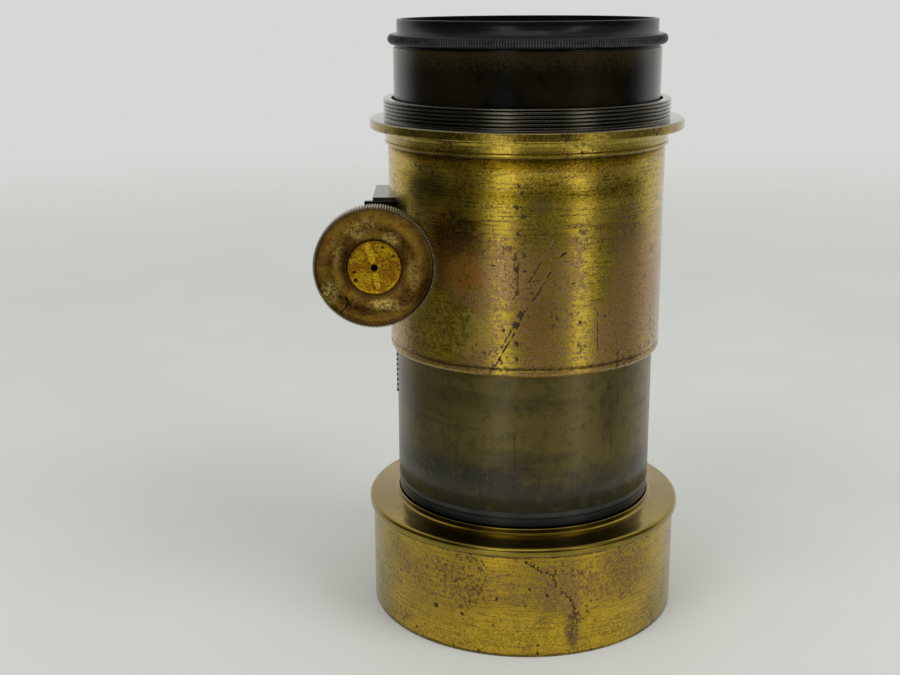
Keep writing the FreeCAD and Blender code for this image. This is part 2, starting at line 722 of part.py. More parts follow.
def rear_retaining_ring():
    """Ring with a bevelled bore and a slot across its upper face."""
    ring = turned("rear_ring_blank", [
        ("rear_retainer_bore", "rear_retainer_low"),
        ("retainer_rad", "rear_retainer_low"),
        ("retainer_rad", "rear_retainer_top"),
        ("rear_retainer_bore + retainer_bevel", "rear_retainer_top"),
        ("rear_retainer_bore", "rear_retainer_top - retainer_bevel"),
    ])
    slots = box("rear_ring_slots", "-retainer_rad - overrun", "-retainer_slot_half",
                "rear_retainer_top - retainer_slot_deep",
                "retainer_rad + retainer_rad + overrun + overrun",
                "retainer_slot_half + retainer_slot_half", "retainer_slot_deep + overrun")
    return cut("rear_ring_cut", ring, [slots], "rear_retaining_ring")


# ---------------------------------------------------------------- places of the housing screws
# corner tag, sign along Y, sign along Z
CORNERS = (("a", "-", "-"), ("b", "", "-"), ("c", "", "+"), ("d", "-", "+"))


def corners(kind):
    """Tag, y and z of the four screws of a kind round the pinion shaft."""
    return [(tag, "%s%s_side" % (y_sign, kind), "pinion_z %s %s_rise" % (z_sign, kind))
            for tag, y_sign, z_sign in CORNERS]


# side: y of the plate's outer face, direction of its screws
PLATE_SIDES = {
    "front": ("-saddle_half - plate_thick", "+Y"),
    "rear": ("saddle_half + plate_thick", "-Y"),
}


def plate_places(side):
    """Name, seat and axis of the two screws of a bearing plate."""
    y, axis = PLATE_SIDES[side]
    return [(side + "_" + tag,
             ("-plate_screw_x", y, "pinion_z %s plate_screw_rise" % sign), axis)
            for tag, sign in (("low", "-"), ("top", "+"))]


# ---------------------------------------------------------------- sleeve and collar
def outer_sleeve():
    """Sleeve with a keyway, a window for the pinion and four screw holes, all at -X."""
    sleeve = turned("sleeve_blank", [
        ("sleeve_bore", "sleeve_low + 0.30"),
        ("sleeve_bore + 0.30", "sleeve_low"),
        ("sleeve_rad - 0.60", "sleeve_low"),
        ("sleeve_rad - 0.18", "sleeve_low + 0.25"),
        ("sleeve_rad", "sleeve_low + 0.80"),
        ("sleeve_rad", "groove_mid - groove_half"),
        ("groove_deep", "groove_mid"),
        ("sleeve_rad", "groove_mid + groove_half"),
        ("sleeve_rad", "sleeve_step"),
        ("sleeve_neck", "sleeve_step"),
        ("sleeve_neck", "sleeve_top"),
        ("sleeve_bore", "sleeve_top"),
    ])
    pocket(sleeve, "XY_Plane", rectangle("-keyway_deep", "-sleeve_bore + overrun + overrun",
                                         "-keyway_half", "keyway_half"), "keyway")
    pocket(sleeve, "YZ_Plane",
           rectangle("-window_half", "window_half", "window_low", "window_top"),
           "pinion_window", length="flange_rad")
    shank, head = "saddle_screw_rad + screw_gap", "saddle_screw_head + screw_gap"
    tools = []
    for tag, y, z in corners("saddle_screw"):
        tools += [
            cone("sleeve_sink_" + tag, "-saddle_screw_face", y, z, "-X",
                 head, shank, "saddle_screw_sink"),
            rod("sleeve_mouth_" + tag, "-saddle_screw_face + saddle_screw_mouth", y, z, "-X",
                head, "saddle_screw_mouth"),
            rod("sleeve_hole_" + tag, "-saddle_screw_face", y, z, "-X",
                shank, "saddle_screw_mouth + saddle_screw_mouth"),
        ]
    return cut("sleeve_cut", sleeve, tools, "outer_sleeve")


def threaded_collar():
    return turned("threaded_collar", [
        ("collar_bore", "sleeve_step"),
        ("neck_low_rad", "sleeve_step"),
        ("neck_low_rad + 0.15", "sleeve_step + 0.45"),
        ("neck_low_rad + 0.45", "sleeve_step + 0.95"),
        ("neck_low_rad + 0.55", "sleeve_step + 1.60"),
        ("neck_top_rad - 0.25", "flange_low - 1.50"),
        ("neck_top_rad", "flange_low - 0.60"),
        ("neck_top_rad", "flange_low"),
        ("flange_rad - 0.15", "flange_low"),
        ("flange_rad", "flange_low + 0.15"),
        ("flange_rad", "flange_top - 0.30"),
        ("flange_rad - 0.30", "flange_top"),
        ("collar_bore", "flange_top"),
    ])


def collar_thread():
    """Threaded part of the collar, drawn plain; apart from the collar so that
    its collision leaves room for the flange that screws on."""
    return turned("collar_thread", [
        ("collar_bore", "flange_top"),
        ("thread_rad", "flange_top"),
        ("thread_rad", "thread_top - 0.10"),
        ("thread_rad - 0.10", "thread_top"),
        ("collar_mouth", "thread_top"),
        ("collar_mouth", "sleeve_top + 0.05"),
        ("collar_bore", "sleeve_top + 0.05"),
    ])


# ---------------------------------------------------------------- pinion housing
def pinion_room(piece):
    """Tools for the cavity round the pinion and the bearing of its shaft."""
    return [
        rod(piece + "_cavity", "-pinion_x", "-cavity_half", "pinion_z", "+Y", "cavity_rad",
            "cavity_half + cavity_half"),
        rod(piece + "_bearing", "-pinion_x", "-saddle_half - overrun", "pinion_z", "+Y",
            "bearing_rad", "saddle_half + saddle_half + overrun + overrun"),
    ]


def pinion_saddle():
    """Block bedded on the sleeve, open towards -X at the pinion shaft."""
    block = box("saddle_block", "-saddle_out", "-saddle_half", "saddle_low",
                "saddle_out - sleeve_bore + block_inset", "saddle_half + saddle_half",
                "saddle_top - saddle_low")
    tools = [rod("saddle_bed", "0", "0", "saddle_low - overrun", "+Z", "sleeve_rad",
                 "saddle_top - saddle_low + overrun + overrun")]
    tools += pinion_room("saddle")
    tools.append(box("saddle_mouth", "-saddle_out - overrun", "-saddle_half - overrun",
                     "pinion_z - bearing_rad + mouth_trim", "saddle_out - pinion_x + overrun",
                     "saddle_half + saddle_half + overrun + overrun",
                     "bearing_rad + bearing_rad - mouth_trim - mouth_trim"))
    for tag, y, z in corners("cover_screw"):
        tools.append(rod("saddle_tap_" + tag, "-cover_out", y, z, "+X",
                         "cover_screw_rad + screw_gap",
                         "cover_out - cover_screw_end + tap_spare"))
    for side in PLATE_SIDES:
        for name, seat, axis in plate_places(side):
            tools.append(rod("saddle_side_" + name, *seat, axis,
                             "plate_screw_rad + screw_gap", "plate_screw_deep + tap_spare"))
    for tag, y, z in corners("saddle_screw"):
        tools.append(rod("saddle_hole_" + tag, "-saddle_screw_face", y, z, "-X",
                         "saddle_screw_rad + screw_gap",
                         "saddle_screw_end - saddle_screw_face + tap_spare"))
    return cut("saddle_cut", block, tools, "pinion_saddle")


def pinion_cover():
    """Cover on the saddle, its two outer edges along the shaft rounded."""
    block = box("cover_block", "-cover_out", "-saddle_half", "pinion_z - cover_half",
                "cover_out - saddle_out", "saddle_half + saddle_half",
                "cover_half + cover_half")
    doc.recompute()
    outer_edges = []
    for number, edge in enumerate(block.Shape.Edges, start=1):
        ends = [vertex.Point for vertex in edge.Vertexes]
        along_shaft = abs(ends[0].y - ends[1].y) > 1.0
        if along_shaft and all(abs(end.x + val("cover_out")) < 1e-6 for end in ends):
            outer_edges.append((number, val("cover_round"), val("cover_round")))
    rounded = doc.addObject("Part::Fillet", "cover_round")
    rounded.Base = block
    rounded.Edges = outer_edges
    tools = pinion_room("cover")
    for tag, y, z in corners("cover_screw"):
        tools += [
            rod("cover_hole_" + tag, "-cover_out - overrun", y, z, "+X",
                "cover_screw_rad + screw_gap", "cover_out - saddle_out + overrun + overrun"),
            rod("cover_bore_" + tag, "-cover_screw_seat", y, z, "-X",
                "cover_screw_head + screw_gap", "cover_screw_bore"),
        ]
    return cut("cover_cut", rounded, tools, "pinion_cover")


def bearing_plate(side, y):
    """Plate on one end of the saddle; y is its face on the -Y side."""
    low, height = side + "_plate_low", "%s_plate_top - %s_plate_low" % (side, side)
    plate = box(side + "_plate_block", "-plate_out", y, low,
                "plate_out - sleeve_bore + block_inset", "plate_thick", height)
    tools = [
        rod(side + "_plate_bed", "0", "0", low + " - overrun", "+Z", "sleeve_rad + plate_gap",
            height + " + overrun + overrun"),
        rod(side + "_plate_bearing", "-pinion_x", y + " - overrun", "pinion_z", "+Y",
            "bearing_rad", "plate_thick + overrun + overrun"),
    ]
    for name, seat, axis in plate_places(side):
        tools.append(rod("plate_hole_" + name, *seat, axis, "plate_screw_rad + screw_gap",
                         "plate_thick + short_run"))
    return cut(side + "_plate_cut", plate, tools, side + "_bearing_plate")


def front_bearing_plate():
    return bearing_plate("front", "-saddle_half - plate_thick")


def rear_bearing_plate():
    return bearing_plate("rear", "saddle_half")


def saddle_screws():
    return group("saddle_screws", [
        sunk_screw("saddle_screw_" + tag, ("-saddle_screw_face", y, z), "-X", "saddle_screw",
                   "saddle_screw_end - saddle_screw_face")
        for tag, y, z in corners("saddle_screw")])


def cover_screws():
    return group("cover_screws", [
        round_screw("cover_screw_" + tag, ("-cover_screw_seat", y, z), "+X", "cover_screw",
                    "cover_screw_seat - cover_screw_end")
        for tag, y, z in corners("cover_screw")])


def plate_screws():
    return group("plate_screws", [
        round_screw("plate_screw_" + name, seat, axis, "plate_screw", "plate_screw_deep")
        for side in PLATE_SIDES
        for name, seat, axis in plate_places(side)])


# ---------------------------------------------------------------- pinion shaft
FLANK_STEPS = 8  # spans of the curve along one tooth flank


def pinion_face():
    """Involute toothed outline in the XZ plane, a tooth pointing at +X."""
    module, teeth = val("gear_module"), int(val("pinion_teeth"))
    pressure = math.radians(val("pressure_angle"))
    pitch_r = module * teeth / 2.0
    base_r = pitch_r * math.cos(pressure)
    tip_r = pitch_r + module
    root_r = pitch_r - 1.25 * module
    pitch_half = (math.pi * module / 2.0 - val("tooth_thin")) / (2.0 * pitch_r)

    def involute(angle):
        return math.tan(angle) - angle

    def half_angle(r):
        """Half the angle a tooth spans at radius r."""
        return pitch_half + involute(pressure) - involute(math.acos(base_r / r))

    def at(r, angle):
        return Vector(r * math.cos(angle), 0.0, r * math.sin(angle))

    def flank(points):
        curve = Part.BSplineCurve()
        curve.interpolate(points)
        return curve.toShape()

    radii = [base_r + (tip_r - base_r) * k / FLANK_STEPS for k in range(FLANK_STEPS + 1)]
    pitch_angle = 2.0 * math.pi / teeth
    base_half = half_angle(base_r)
    edges = []
    for n in range(teeth):
        centre = n * pitch_angle
        low = [at(r, centre - half_angle(r)) for r in radii]
        high = [at(r, centre + half_angle(r)) for r in reversed(radii)]
        foot_low = at(root_r, centre - base_half)
        foot_high = at(root_r, centre + base_half)
        next_foot = at(root_r, centre + pitch_angle - base_half)
        gap_middle = at(root_r, centre + pitch_angle / 2.0)
        edges += [
            Part.makeLine(foot_low, low[0]),
            flank(low),
            Part.Arc(low[-1], at(tip_r, centre), high[0]).toShape(),
            flank(high),
            Part.makeLine(high[-1], foot_high),
            Part.Arc(foot_high, gap_middle, next_foot).toShape(),
        ]
    return Part.Face(Part.Wire(Part.__sortEdges__(edges)))


def pinion_shaft():
    """Shaft along Y with the pinion in one piece and a hole for the knob pin."""
    face = pinion_face()
    width = val("gear_half")
    face.translate(Vector(0, -width, 0))
    gear = face.extrude(Vector(0, 2.0 * width, 0))
    front, back = val("shaft_front"), val("shaft_back")
    shaft = Part.makeCylinder(val("shaft_rad"), front + back,
                              Vector(0, -front, 0), Vector(0, 1, 0))
    half = val("pin_hole_half")
    pin_hole = Part.makeCylinder(val("knob_pin_rad + pin_gap"), 2.0 * half,
                                 Vector(0, -val("knob_pin_at"), -half), Vector(0, 0, 1))
    pinion = doc.addObject("Part::Feature", "pinion_shaft_solid")
    pinion.Shape = gear.fuse(shaft).cut(pin_hole).Solids[0]
    put(pinion, "-pinion_x", "0", "pinion_z")
    pinion.Label = "pinion_shaft"
    return pinion


# ---------------------------------------------------------------- hub and knob
# Both are turned about the line through the pinion axis, along Y.
def knob_hub():
    hub = turned("hub_blank", [
        ("hub_bore", "-hub_back"),
        ("hub_bore", "-hub_blind"),
        ("0", "-hub_blind"),
        ("0", "-hub_centre_deep"),
        ("hub_centre", "-hub_face"),
        ("hub_head - 0.30", "-hub_face"),
        ("hub_head", "-hub_face + 0.30"),
        ("hub_head", "-hub_shoulder"),
        ("hub_stem", "-hub_shoulder"),
        ("hub_stem", "-knob_back"),
        ("hub_neck", "-knob_back"),
        ("hub_neck", "-hub_back - 0.30"),
        ("hub_neck - 0.30", "-hub_back"),
    ], plane="XY_Plane")
    put(hub, "-pinion_x", "0", "pinion_z")
    pin_hole = rod("hub_pin_hole", "-pinion_x", "-knob_pin_at", "pinion_z - pin_hole_half",
                   "+Z", "knob_pin_rad + pin_gap", "pin_hole_half + pin_hole_half")
    return cut("hub_cut", hub, [pin_hole], "knob_hub")


def focus_knob():
    knob = turned("focus_knob", [
        ("knob_bore", "-knob_back"),
        ("knob_bore", "-knob_recess"),
        ("knob_seat", "-knob_recess"),
        ("knob_seat", "-knob_inner"),
        ("knob_dish_in", "-knob_dish"),
        ("knob_dish_out", "-knob_dish"),
        ("knob_lip", "-knob_lip_low"),
        ("knob_lip + 0.10", "-knob_face"),
        ("knob_rad - 0.20", "-knob_face"),
        ("knob_rad", "-knob_face + 0.20"),
        ("knob_rad", "-knob_back - 0.40"),
        ("knob_rad - 0.40", "-knob_back"),
    ], plane="XY_Plane")
    return put(knob, "-pinion_x", "0", "pinion_z")


def knob_pin():
    pin = rod("knob_pin_rod", "-pinion_x", "-knob_pin_at", "pinion_z - knob_pin_half", "+Z",
              "knob_pin_rad", "knob_pin_half + knob_pin_half")
    pin.Label = "knob_pin"
    return pin


# ---------------------------------------------------------------- build and write
PIECES = [
    hood_tube, hood_plate,
    front_cell, front_crown_lens, front_flint_lens, front_retaining_ring,
    drawtube, rack, rack_screws,
    rear_cell, rear_cell_rim, rear_flint_lens, rear_spacer_ring, rear_crown_lens,
    rear_retaining_ring,
    outer_sleeve, threaded_collar, collar_thread,
    pinion_saddle, pinion_cover, front_bearing_plate, rear_bearing_plate,
    saddle_screws, cover_screws, plate_screws,
    pinion_shaft, knob_hub, focus_knob, knob_pin,
]

nodes = [make_piece() for make_piece in PIECES]
doc.recompute()
for obj in doc.Objects:
    if "Invalid" in obj.State or "Error" in obj.State:
        raise RuntimeError("%s is in state %s" % (obj.Name, obj.State))
for node in nodes:
    shape = node.Shape
    if shape.isNull() or not shape.isValid() or not shape.Solids or shape.Volume <= 0:
        raise RuntimeError(node.Label + " has no valid solid")

os.makedirs("parts", exist_ok=True)
for node in nodes:
    node.Shape.exportStep(os.path.join("parts", node.Label + ".step"))
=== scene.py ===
"""A brass lens with rack-and-pinion focusing, standing on its hood.

The optical axis is Z, with the hood and front lenses at the bottom. The pinion lies
at -X, parallel to Y, and its knob faces -Y, the side the camera looks from.
Lengths are in mm unless a comment says otherwise; the scene itself is in metres.
"""
import math
from functools import cached_property, reduce
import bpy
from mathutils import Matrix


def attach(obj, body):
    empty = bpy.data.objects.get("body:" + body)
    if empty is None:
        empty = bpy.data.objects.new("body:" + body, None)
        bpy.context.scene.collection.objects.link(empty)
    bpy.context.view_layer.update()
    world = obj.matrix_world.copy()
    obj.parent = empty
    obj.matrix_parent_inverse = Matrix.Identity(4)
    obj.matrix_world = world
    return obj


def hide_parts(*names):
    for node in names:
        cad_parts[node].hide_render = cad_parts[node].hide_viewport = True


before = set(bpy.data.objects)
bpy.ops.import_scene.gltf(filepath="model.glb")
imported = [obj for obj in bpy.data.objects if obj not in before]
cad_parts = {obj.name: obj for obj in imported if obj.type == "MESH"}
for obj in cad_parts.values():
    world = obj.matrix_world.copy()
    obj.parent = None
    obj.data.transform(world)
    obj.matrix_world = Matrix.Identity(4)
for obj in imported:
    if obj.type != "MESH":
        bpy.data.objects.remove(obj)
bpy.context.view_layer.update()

from types import SimpleNamespace

import bmesh
import bpy
import numpy as np
from mathutils import Matrix, Vector

MM = 0.001
scene = bpy.context.scene

# ------------------------------------------------------------------ driving sizes
HOOD_R = 41.67
TUBE_R, TUBE_BORE = 34.44, 32.60
SLEEVE_R, SLEEVE_BORE = 36.10, 34.50
SLEEVE_TOP = 126.90               # where the sleeve meets the collar
CELL_R = 34.30
KNOB_R = 15.0
PIVOT_X, PIVOT_Z = -38.80, 100.40  # pinion axis
BEAD_TEETH, KNOB_TEETH = 330, 140

# The camera's place over the floor; textures are placed by the angle from it.
CAMERA_AZIMUTH = math.atan2(-340.957, -23.842)


# ------------------------------------------------------------------ mesh helpers


def rounded(points, steps=4, support=0.10):
    """Closed outline of (r, z, corner radius) -> dense closed list of (r, z).
    Long straights get an extra point, support away from each arc."""
    out = []
    for i, (r, z, corner) in enumerate(points):
        here = Vector((r, z))
        back = Vector(points[i - 1][:2]) - here
        ahead = Vector(points[(i + 1) % len(points)][:2]) - here
        back_len, ahead_len = back.length, ahead.length
        back.normalize()
        ahead.normalize()
        angle = math.acos(max(-1.0, min(1.0, back.dot(ahead))))
        if corner <= 0 or angle > math.pi - 0.01 or angle < 0.01:
            out.append((here.x, here.y))
            continue
        trim = corner / math.tan(angle / 2)
        limit = 0.48 * min(back_len, ahead_len)
        if trim > limit:
            trim = limit
            corner = trim * math.tan(angle / 2)
        centre = here + (back + ahead).normalized() * (corner / math.sin(angle / 2))
        start, end = here + back * trim, here + ahead * trim
        if back_len > 2 * trim + 2.5 * support:
            out.append(tuple(start + back * support))
        first = math.atan2(start.y - centre.y, start.x - centre.x)
        sweep = math.atan2(end.y - centre.y, end.x - centre.x) - first
        while sweep > math.pi:
            sweep -= 2 * math.pi
        while sweep < -math.pi:
            sweep += 2 * math.pi
        for k in range(steps + 1):
            turned = first + sweep * k / steps
            out.append((centre.x + corner * math.cos(turned),
                        centre.y + corner * math.sin(turned)))
        if ahead_len > 2 * trim + 2.5 * support:
            out.append(tuple(end + ahead * support))
    return out


def make_object(name, verts, faces):
    mesh = bpy.data.meshes.new(name)
    mesh.from_pydata(verts, [], faces)
    mesh.update()
    obj = bpy.data.objects.new(name, mesh)
    scene.collection.objects.link(obj)
    bm = bmesh.new()
    bm.from_mesh(mesh)
    bmesh.ops.recalc_face_normals(bm, faces=bm.faces)
    bm.to_mesh(mesh)
    bm.free()
    mesh.shade_smooth()
    return obj


def column_angles(count, edges):
    """Even angles round the axis, the nearest moved onto each edge angle."""
    angles = [2 * math.pi * k / count for k in range(count)]
    for edge in edges:
        nearest = min(range(count), key=lambda k: abs(angles[k] - edge))
        angles[nearest] = edge
    return np.array(angles)


def solid_mesh(points):
    """Vertices and faces of a solid whose first and last rows are poles."""
    cols, rows = points.shape[1], len(points) - 2
    verts = [tuple(points[0, 0])]
    verts += [tuple(p) for p in points[1:-1].reshape(-1, 3)]
    verts.append(tuple(points[-1, 0]))
    last = len(verts) - 1
    faces = []
    for j in range(cols):
        k = (j + 1) % cols
        faces.append((0, 1 + j, 1 + k))
        faces.append((last, 1 + (rows - 1) * cols + k, 1 + (rows - 1) * cols + j))
    for i in range(rows - 1):
        row = 1 + i * cols
        for j in range(cols):
            k = (j + 1) % cols
            faces.append((row + j, row + cols + j, row + cols + k, row + k))
    return verts, faces


def cut_hole(outline, angles, low, top, first, final):
    """Mask of the faces a hole leaves out, and the walls that line it."""
    cols = len(angles)
    mid_z = 0.5 * (outline[:, 1] + np.roll(outline[:, 1], -1))
    mid_angle = 0.5 * (angles + np.append(angles[1:], angles[0] + 2 * math.pi))
    in_cols = (mid_angle > first) & (mid_angle < final)
    cut = ((mid_z > low) & (mid_z < top))[:, None] & in_cols[None, :]
    hole_cols = np.nonzero(in_cols)[0]
    near = [i for i, (_, z) in enumerate(outline) if low - 1e-6 <= z <= top + 1e-6]
    radii = [outline[i, 0] for i in near]
    middle = 0.5 * (max(radii) + min(radii))
    near.sort(key=lambda i: outline[i, 1])
    outer = [i for i in near if outline[i, 0] > middle]
    inner = [i for i in near if outline[i, 0] <= middle]
    walls = []
    for q in range(len(outer) - 1):
        for j in (hole_cols[0], hole_cols[-1] + 1):
            walls.append((outer[q] * cols + j, outer[q + 1] * cols + j,
                          inner[q + 1] * cols + j, inner[q] * cols + j))
    for out_row, in_row in ((outer[0], inner[0]), (outer[-1], inner[-1])):
        for j in hole_cols:
            k = (j + 1) % cols
            walls.append((out_row * cols + j, out_row * cols + k,
                          in_row * cols + k, in_row * cols + j))
    return cut, walls


def turn(name, outline, columns, place=None, shape=None, edges=(), hole=None):
    """Revolve an outline of (r, z). A closed outline makes a ring; one that
    starts and ends on the axis makes a solid. shape(radius, z, angle) returns
    changed radii and angles, place moves the points, and hole is
    (low z, top z, first angle, last angle)."""
    outline = np.array(outline, float)
    angles = column_angles(columns, edges)
    rows, cols = len(outline), len(angles)
    radius = np.repeat(outline[:, :1], cols, 1)
    z = np.repeat(outline[:, 1:2], cols, 1)
    angle = np.repeat(angles[None, :], rows, 0)
    if shape is not None:
        radius, angle = shape(radius, z, angle)
    points = np.stack([radius * np.cos(angle), radius * np.sin(angle), z], -1)
    if place is not None:
        points = place(points)
    points = points * MM
    if outline[0, 0] < 1e-6 and outline[-1, 0] < 1e-6:
        return make_object(name, *solid_mesh(points))
    cut, walls = np.zeros((rows, cols), bool), []
    if hole:
        cut, walls = cut_hole(outline, angles, *hole)
    faces = []
    for i in range(rows):
        row, after = i * cols, ((i + 1) % rows) * cols
        for j in range(cols):
            if not cut[i, j]:
                k = (j + 1) % cols
                faces.append((row + j, after + j, after + k, row + k))
    return make_object(name, [tuple(p) for p in points.reshape(-1, 3)], faces + walls)


def on_pinion(points):
    """Turned about Z -> turned about the pinion axis, with z running along -Y."""
    out = np.empty_like(points)
    out[..., 0] = PIVOT_X + points[..., 0]
    out[..., 1] = -points[..., 2]
    out[..., 2] = PIVOT_Z + points[..., 1]
    return out


def ramp_up(value, start, width):
    return np.clip((value - start) / width, 0, 1)


def smooth(value):
    return value * value * (3 - 2 * value)


# ------------------------------------------------------------------ node helpers


class Value:
    """A shader output. Arithmetic on it adds Math nodes."""

    def __init__(self, graph, socket):
        self.graph, self.socket = graph, socket

    def math(self, operation, other=0.0):
        return self.graph.math(operation, self, other)

    def __add__(self, other):
        return self.math("ADD", other)

    def __radd__(self, other):
        return self.graph.math("ADD", other, self)

    def __sub__(self, other):
        return self.math("SUBTRACT", other)

    def __rsub__(self, other):
        return self.graph.math("SUBTRACT", other, self)

    def __mul__(self, other):
        return self.math("MULTIPLY", other)

    def __truediv__(self, other):
        return self.math("DIVIDE", other)

    def __pow__(self, other):
        return self.math("POWER", other)

    def __abs__(self):
        return self.math("ABSOLUTE")

    def clamped(self):
        """Clamp the Math node just made to 0..1."""
        self.socket.node.use_clamp = True
        return self

    def rise(self, low, high, start=0.0, end=1.0, kind="SMOOTHSTEP"):
        """start at low, easing to end at high."""
        node = self.graph.node("ShaderNodeMapRange", interpolation_type=kind)
        for socket, number in zip(node.inputs, (self, low, high, start, end)):
            self.graph.put(socket, number)
        return Value(self.graph, node.outputs[0])

    def fall(self, low, high):
        """1 at low, easing to 0 at high."""
        return self.rise(low, high, 1.0, 0.0)


def length(a, b):
    return (a * a + b * b).math("SQRT")


class Graph:
    """A node tree emptied and filled through short calls."""

    def __init__(self, tree, coordinate):
        self.tree = tree
        tree.nodes.clear()
        self.pos = self.value(self.node("ShaderNodeTexCoord").outputs[coordinate])

    def node(self, kind, **props):
        node = self.tree.nodes.new(kind)
        for key, setting in props.items():
            setattr(node, key, setting)
        return node

    def value(self, socket):
        return Value(self, socket)

    def put(self, socket, content):
        """Link or set a socket; a colour of three gets alpha 1."""
        if isinstance(content, Value):
            content = content.socket
        if isinstance(content, bpy.types.NodeSocket):
            self.tree.links.new(content, socket)
        elif isinstance(content, tuple) and len(content) == 3 and socket.type == "RGBA":
            socket.default_value = (*content, 1.0)
        else:
            socket.default_value = content

    def math(self, operation, a, b):
        node = self.node("ShaderNodeMath", operation=operation)
        for socket, content in zip(node.inputs, (a, b, 0.0)):
            self.put(socket, content)
        return self.value(node.outputs[0])

    def mix(self, amount, under, over, blend="MIX"):
        node = self.node("ShaderNodeMix", data_type="RGBA", blend_type=blend)
        for index, content in ((0, amount), (6, under), (7, over)):
            self.put(node.inputs[index], content)
        return self.value(node.outputs[2])

    def mapping(self, vector, scale=None, shift=None):
        node = self.node("ShaderNodeMapping")
        self.put(node.inputs["Vector"], vector)
        node.inputs["Scale"].default_value = scale or (1, 1, 1)
        node.inputs["Location"].default_value = shift or (0, 0, 0)
        return self.value(node.outputs[0])

    @cached_property
    def axes(self):
        node = self.node("ShaderNodeSeparateXYZ")
        self.put(node.inputs[0], self.pos)
        return [self.value(socket) for socket in node.outputs]

    x = property(lambda self: self.axes[0])
    y = property(lambda self: self.axes[1])
    z = property(lambda self: self.axes[2])

    def around(self, radius):
        """Arc length round the Z axis, 0 facing the camera, + to its right."""
        cos, sin = math.cos(CAMERA_AZIMUTH), math.sin(CAMERA_AZIMUTH)
        toward = self.x * cos + self.y * sin
        aside = self.x * -sin + self.y * cos
        return aside.math("ARCTAN2", toward) * radius


class Look(Graph):
    """A Principled material. Positions are object coordinates in mm."""

    SOCKETS = {"rough": "Roughness", "metal": "Metallic", "normal": "Normal",
               "aniso": "Anisotropic", "aniso_turn": "Anisotropic Rotation",
               "tangent": "Tangent", "coat": "Coat Weight", "coat_rough": "Coat Roughness",
               "transmission": "Transmission Weight", "ior": "IOR",
               "specular": "Specular IOR Level"}

    def __init__(self, name):
        self.mat = bpy.data.materials.new(name)
        self.mat.use_nodes = True
        super().__init__(self.mat.node_tree, "Object")
        self.pos = self.mapping(self.pos, scale=(1000, 1000, 1000))
        self.texture_pos = self.pos
        self.out = self.node("ShaderNodeOutputMaterial")
        self.bsdf = self.node("ShaderNodeBsdfPrincipled")
        self.tree.links.new(self.bsdf.outputs[0], self.out.inputs[0])
        self.color = None

    def paint(self, color, by):
        """Lay a colour over what is there, by the given amount."""
        self.color = self.mix(by, self.color, color)

    def finish(self, **values):
        self.put(self.bsdf.inputs["Base Color"], self.color)
        for key, content in values.items():
            self.put(self.bsdf.inputs[self.SOCKETS[key]], content)
        return self.mat

    def texture(self, kind, stretch, shift, **inputs):
        node = self.node(kind)
        vector = self.texture_pos
        if stretch or shift:
            vector = self.mapping(vector, stretch, shift)
        self.put(node.inputs["Vector"], vector)
        for key, number in inputs.items():
            node.inputs[key].default_value = number
        return node

    def noise(self, scale, detail, rough, distort=0.0, stretch=None, shift=None):
        node = self.texture("ShaderNodeTexNoise", stretch, shift, Scale=scale,
                            Detail=detail, Roughness=rough, Distortion=distort)
        return self.value(node.outputs[0])

    def cells(self, scale, shift=None):
        """Distance to the nearest of scattered points."""
        node = self.texture("ShaderNodeTexVoronoi", None, shift, Scale=scale)
        return self.value(node.outputs["Distance"])

    def bump(self, height, strength, distance):
        node = self.node("ShaderNodeBump")
        self.put(node.inputs["Strength"], strength)
        self.put(node.inputs["Distance"], distance * MM)
        self.put(node.inputs["Height"], height)
        return node.outputs[0]

    def radius(self):
        return length(self.x, self.y)

    def facing(self):
        node = self.node("ShaderNodeLayerWeight")
        node.inputs["Blend"].default_value = 0.5
        return self.value(node.outputs["Facing"])

    def tangent(self, axis):
        return self.node("ShaderNodeTangent", direction_type="RADIAL", axis=axis).outputs[0]

    # Marks at stated places; u and v are any two coordinates in mm.

    def ellipse(self, u, v, at_u, at_v, half_u, half_v):
        """Distance from a point, 1 on the ellipse."""
        return length((u - at_u) / half_u, (v - at_v) / half_v)

    def blob(self, *place):
        """Soft ellipse, 1 in the middle; arguments as for ellipse."""
        return self.ellipse(*place).fall(0.35, 1.25)

    def spots(self, u, v, places):
        """1 inside any of the (u, v, radius) spots."""
        rings = [self.ellipse(u, v, a, b, size, size) for a, b, size in places]
        return reduce(lambda a, b: a.math("MINIMUM", b), rings).fall(0.75, 1.15)

    def stroke(self, u, v, u0, v0, u1, v1, half_width):
        """1 on the line from (u0, v0) to (u1, v1)."""
        du, dv = u1 - u0, v1 - v0
        from_u, from_v = u - u0, v - v0
        along = ((from_u * du + from_v * dv) / (du * du + dv * dv)).clamped()
        off = length(from_u - along * du, from_v - along * dv)
        return off.fall(half_width, half_width + 0.10)

    def lines(self, u, v, pieces):
        """1 on any of the (u0, v0, u1, v1, half width) strokes."""
        strokes = [self.stroke(u, v, *piece) for piece in pieces]
        return reduce(lambda a, b: a.math("MAXIMUM", b), strokes)


def scaled(color, factor):
    return tuple(factor * channel for channel in color)


# ------------------------------------------------------------------ worn brass
# In every material, rise(low, high) and fall(low, high) hold the thresholds of a
# mask, and the factor after a mask is its strength.
GOLD = (0.62, 0.440, 0.028)
OLIVE = (0.085, 0.062, 0.005)
COPPER = (0.57, 0.322, 0.110)
RUST = (0.200, 0.076, 0.010)
SOOT = (0.014, 0.010, 0.006)

# Texture scale, detail and roughness of the two speckles, by fineness.
PEPPER = {False: (0.88, 4.0, 0.67), True: (1.05, 6.0, 0.74)}
GRAIN = {False: (2.0, 2.0, 0.64), True: (2.4, 4.0, 0.72)}


